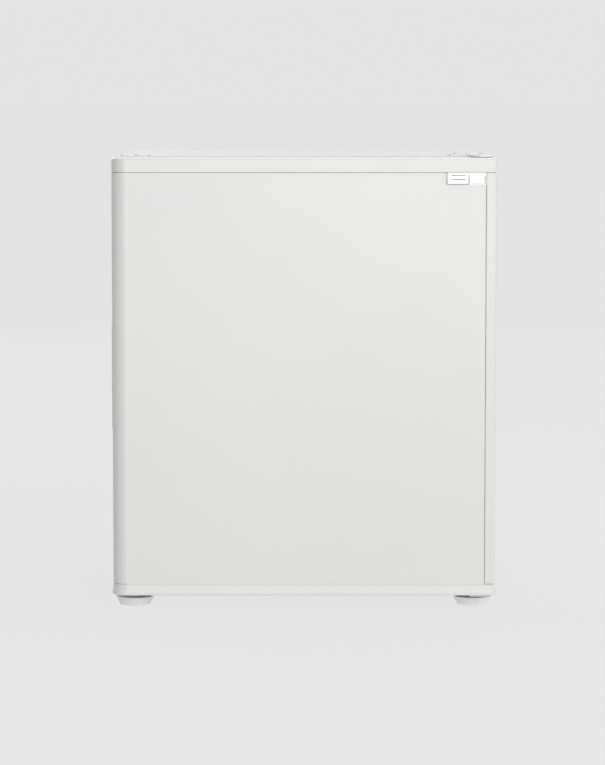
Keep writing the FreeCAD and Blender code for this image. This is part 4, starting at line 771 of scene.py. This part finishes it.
pick(panel, "EDGE", lambda e: halfway(e).z > high.z - NEAR and all(on_skin(v) for v in e.verts))
bpy.ops.mesh.bevel(offset=HEM_ROUND, segments=3, affect="EDGES")
finish_editing()
ease(panel, HEM_ROUND / 4, 2, 50)
side, end = GRIP_INSIDE
cutter = start_block(
    "grip_cutter", (low.x - CUT_PAST, grip_low.y + side, grip_low.z + end),
    (low.x + CUT_PAST, grip_high.y - side, grip_high.z - end),
)
apply_modifier(panel, "BOOLEAN", object=cutter, operation="DIFFERENCE", solver="EXACT")
bpy.data.objects.remove(cutter)
settle(panel, door_paint, "door", "door_paint", "door_panel")


# ==== Edge trim on the hinge side ====
# A thin plastic extrusion that is snapped over the sheet's return, with a small round outer edge.
# It is the same white plastic as the two caps.
cap_plastic = finish(
    "cap_plastic", coated, tone=(0.80, 0.80, 0.785), shade=(0.785, 0.785, 0.77),
    patch=9.0, grain=1000.0, gloss=(0.30, 0.38), depth=0.00005,
    Coat_Weight=0.15, Coat_Roughness=0.2,
)
TRIM_WALL = 0.002
TRIM_RADIUS = 0.003


def rounded_hinge_edge(piece, low, high):
    """Rounds a door piece's upright edge on the hinge side."""
    pick(piece, "EDGE", lambda e: upright_at(e, halfway(e).x > high.x - NEAR, low.y))
    bpy.ops.mesh.bevel(offset=TRIM_RADIUS, offset_type="OFFSET", segments=8, affect="EDGES")


low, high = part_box("door_edge_trim")
trim = start_block("hinge_side_trim", low, high)
pick(trim, "FACE", lambda f: f.normal.y > 0.5 or abs(f.normal.z) > 0.5 or f.normal.x < -0.5)
bpy.ops.mesh.delete(type="FACE")
rounded_hinge_edge(trim, low, high)
finish_editing()
apply_modifier(trim, "SOLIDIFY", thickness=TRIM_WALL, offset=-1.0, use_even_offset=True)
ease(trim, 0.0009, 3, 50)
settle(trim, cap_plastic, "door", "cap_plastic", "door_edge_trim")


# ==== Caps over the top and bottom of the door ====
# Moulded plastic caps close the foam. Both are hollow, round at the front edges, and hold the hinge bushes.
# The lower one flares out round its foot, and its tongue stands behind the seam under the panel.
CAP_WALL = 0.0025
CAP_ROUND = 0.0024
SEAM_ROUND = 0.0009
FLARE = 0.001
FLARE_UP = 0.0060
FOOT_ROUND = 0.0012
BUSH_HOLE = 0.0065
DRILL_PAST = 0.002
TONGUE_BACK = 0.0003


def bush_holes(piece, low, high):
    """Bores the holes for the bush and for the plug on the other side."""
    axis = next(joint["pos_m"] for joint in frame["joints"] if joint["name"] == "door_swing")
    for side in (-1, 1):
        drill = start_rod(
            "drill", (side * axis[0], axis[1], 0), BUSH_HOLE, low.z - DRILL_PAST, high.z + DRILL_PAST, 40
        )
        apply_modifier(piece, "BOOLEAN", object=drill, operation="DIFFERENCE", solver="EXACT")
        bpy.data.objects.remove(drill)


low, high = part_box("door_top_cap")
cap = start_block("top_cap", low, high)
rounded_opening_edge(cap, low)
rounded_hinge_edge(cap, low, high)
pick(cap, "FACE", lambda f: f.normal.z < -0.9)
bpy.ops.mesh.delete(type="FACE")
pick(cap, "EDGE", lambda e: abs(halfway(e).z - high.z) < NEAR and halfway(e).y < high.y - NEAR)
bpy.ops.mesh.bevel(offset=CAP_ROUND, offset_type="OFFSET", segments=6, affect="EDGES")
finish_editing()
apply_modifier(cap, "SOLIDIFY", thickness=CAP_WALL, offset=-1.0, use_even_offset=True)
ease(cap, SEAM_ROUND, 3, 50)
bush_holes(cap, low, high)
settle(cap, cap_plastic, "door", "cap_plastic", "door_top_cap")

low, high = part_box("door_bottom_cap")
straight_low = Vector((low.x + FLARE, low.y + FLARE, low.z + FLARE_UP + FLARE))
straight_high = Vector((high.x - FLARE, high.y, high.z))
cap = start_block("bottom_cap", straight_low, straight_high)
rounded_opening_edge(cap, straight_low)
rounded_hinge_edge(cap, straight_low, straight_high)
pick(cap, "FACE", lambda f: f.normal.z < -0.9)
bpy.ops.mesh.extrude_region_move(TRANSFORM_OT_translate={"value": (0, 0, -FLARE)})
wide = (high.x - low.x) / (straight_high.x - straight_low.x)
deep = (high.y - low.y) / (straight_high.y - straight_low.y)
bpy.ops.transform.resize(value=(wide, deep, 1), center_override=((low.x + high.x) / 2, high.y, 0))
bpy.ops.mesh.extrude_region_move(TRANSFORM_OT_translate={"value": (0, 0, -FLARE_UP)})
pick(cap, "EDGE", lambda e: abs(halfway(e).z - low.z) < NEAR and halfway(e).y < high.y - NEAR)
bpy.ops.mesh.bevel(offset=FOOT_ROUND, offset_type="OFFSET", segments=4, affect="EDGES")
pick(cap, "FACE", lambda f: f.normal.z > 0.9)
bpy.ops.mesh.delete(type="FACE")
finish_editing()
apply_modifier(cap, "SOLIDIFY", thickness=CAP_WALL, offset=-1.0, use_even_offset=True)
ease(cap, SEAM_ROUND / 4, 2, 50)
bush_holes(cap, low, high)
tongue = start_block(
    "cap_tongue", (low.x + EDGE_RADIUS, straight_low.y + TONGUE_BACK, high.z - CAP_WALL),
    (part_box("door_panel")[1].x, straight_low.y + CAP_WALL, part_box("door_panel")[0].z),
)
cap = united([cap, tongue], "bottom_cap")
settle(cap, cap_plastic, "door", "cap_plastic", "door_bottom_cap")
wear(cap_plastic, "door_hole_plugs")
wear(knob_plastic, "hinge_bushes")


# ==== Badge plate ====
# A small bright plate with rounded corners, glued on by the hinge side.
# It is printed with a plain frame, two bars and two lines, and carries no lettering.
badge_metal = finish(
    "badge_metal", coated, tone=(0.90, 0.90, 0.895), shade=(0.84, 0.84, 0.84),
    patch=90.0, grain=3000.0, gloss=(0.22, 0.32), depth=0.00002,
    stretch=(0.1, 1, 1), Metallic=0.25,
)
print_ink = finish(
    "print_ink", coated, tone=(0.16, 0.16, 0.165), shade=(0.22, 0.22, 0.22),
    patch=120.0, grain=3000.0, gloss=(0.45, 0.6), depth=0.00002,
)
PRINT_RAISED = 0.00012
BADGE_CORNER = 0.0010
BADGE_LINES = (  # left, right, bottom and top of each printed line, as shares of the plate
    (0.010, 0.034, 0.02, 0.98),
    (0.034, 0.555, 0.02, 0.09),
    (0.555, 0.580, 0.02, 0.84),
    (0.13, 0.49, 0.72, 0.79),
    (0.13, 0.49, 0.38, 0.46),
    (0.955, 0.978, 0.05, 0.74),
    (0.64, 0.94, 0.05, 0.10),
)
low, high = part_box("badge_plate")
badge = start_block("badge", (low.x, low.y + PRINT_RAISED, low.z), high)
pick(badge, "EDGE", lambda e: along(e, 1))
bpy.ops.mesh.bevel(offset=BADGE_CORNER, segments=4, affect="EDGES")
finish_editing()
ease(badge, 0.00018, 2, 40)
settle(badge, badge_metal, "door", "badge_metal", "badge_plate")
lines = []
for left, right, bottom, top in BADGE_LINES:
    lines.append(start_block(
        "printed_line",
        (low.x + left * (high.x - low.x), low.y, low.z + bottom * (high.z - low.z)),
        (low.x + right * (high.x - low.x), low.y + 2 * PRINT_RAISED, low.z + top * (high.z - low.z)),
    ))
settle(united(lines, "badge_print"), print_ink, "door")


# ==== Finger grip ====
# A moulded cup set into the opening edge, deep enough for the fingertips.
# Its thin flange covers the cut edge of the sheet.
eased_copy("grip_insert", cap_plastic, "door", "cap_plastic", 0.0006, 3)


# ==== Door seal ====
# Soft extruded plastic: a foot that snaps into the liner, a folded bellows, and a pocket for the magnets.
# Four lengths are welded at the corners.
seal = finish(
    "seal", coated, tone=(0.72, 0.72, 0.71), shade=(0.68, 0.68, 0.67),
    patch=30.0, grain=1200.0, gloss=(0.48, 0.6), depth=0.00008,
)
magnet = finish(
    "magnet", coated, tone=(0.08, 0.07, 0.06), shade=(0.10, 0.09, 0.08),
    patch=60.0, grain=1500.0, gloss=(0.6, 0.75), depth=0.0001,
)
wear(magnet, "gasket_magnets")
eased_copy("door_gasket", seal, "door", "seal", 0.0012, 4)


# ==== Door racks ====
# Two lift-out racks of pale blue clear plastic hang on bosses inside the raised rim.
# Each is a thin open trough with a round-edged front.
rack_plastic = finish(
    "rack_plastic", coated, tone=(0.80, 0.85, 0.90), shade=(0.76, 0.81, 0.87),
    patch=14.0, grain=900.0, gloss=(0.18, 0.28), depth=0.00005,
    Transmission_Weight=0.25, IOR=1.49, Coat_Weight=0.2, Coat_Roughness=0.1,
)
eased_copy("bottle_rack", rack_plastic, "rack_low", "rack_plastic", 0.0007)
eased_copy("upper_rack", rack_plastic, "rack_high", "rack_plastic", 0.0007)
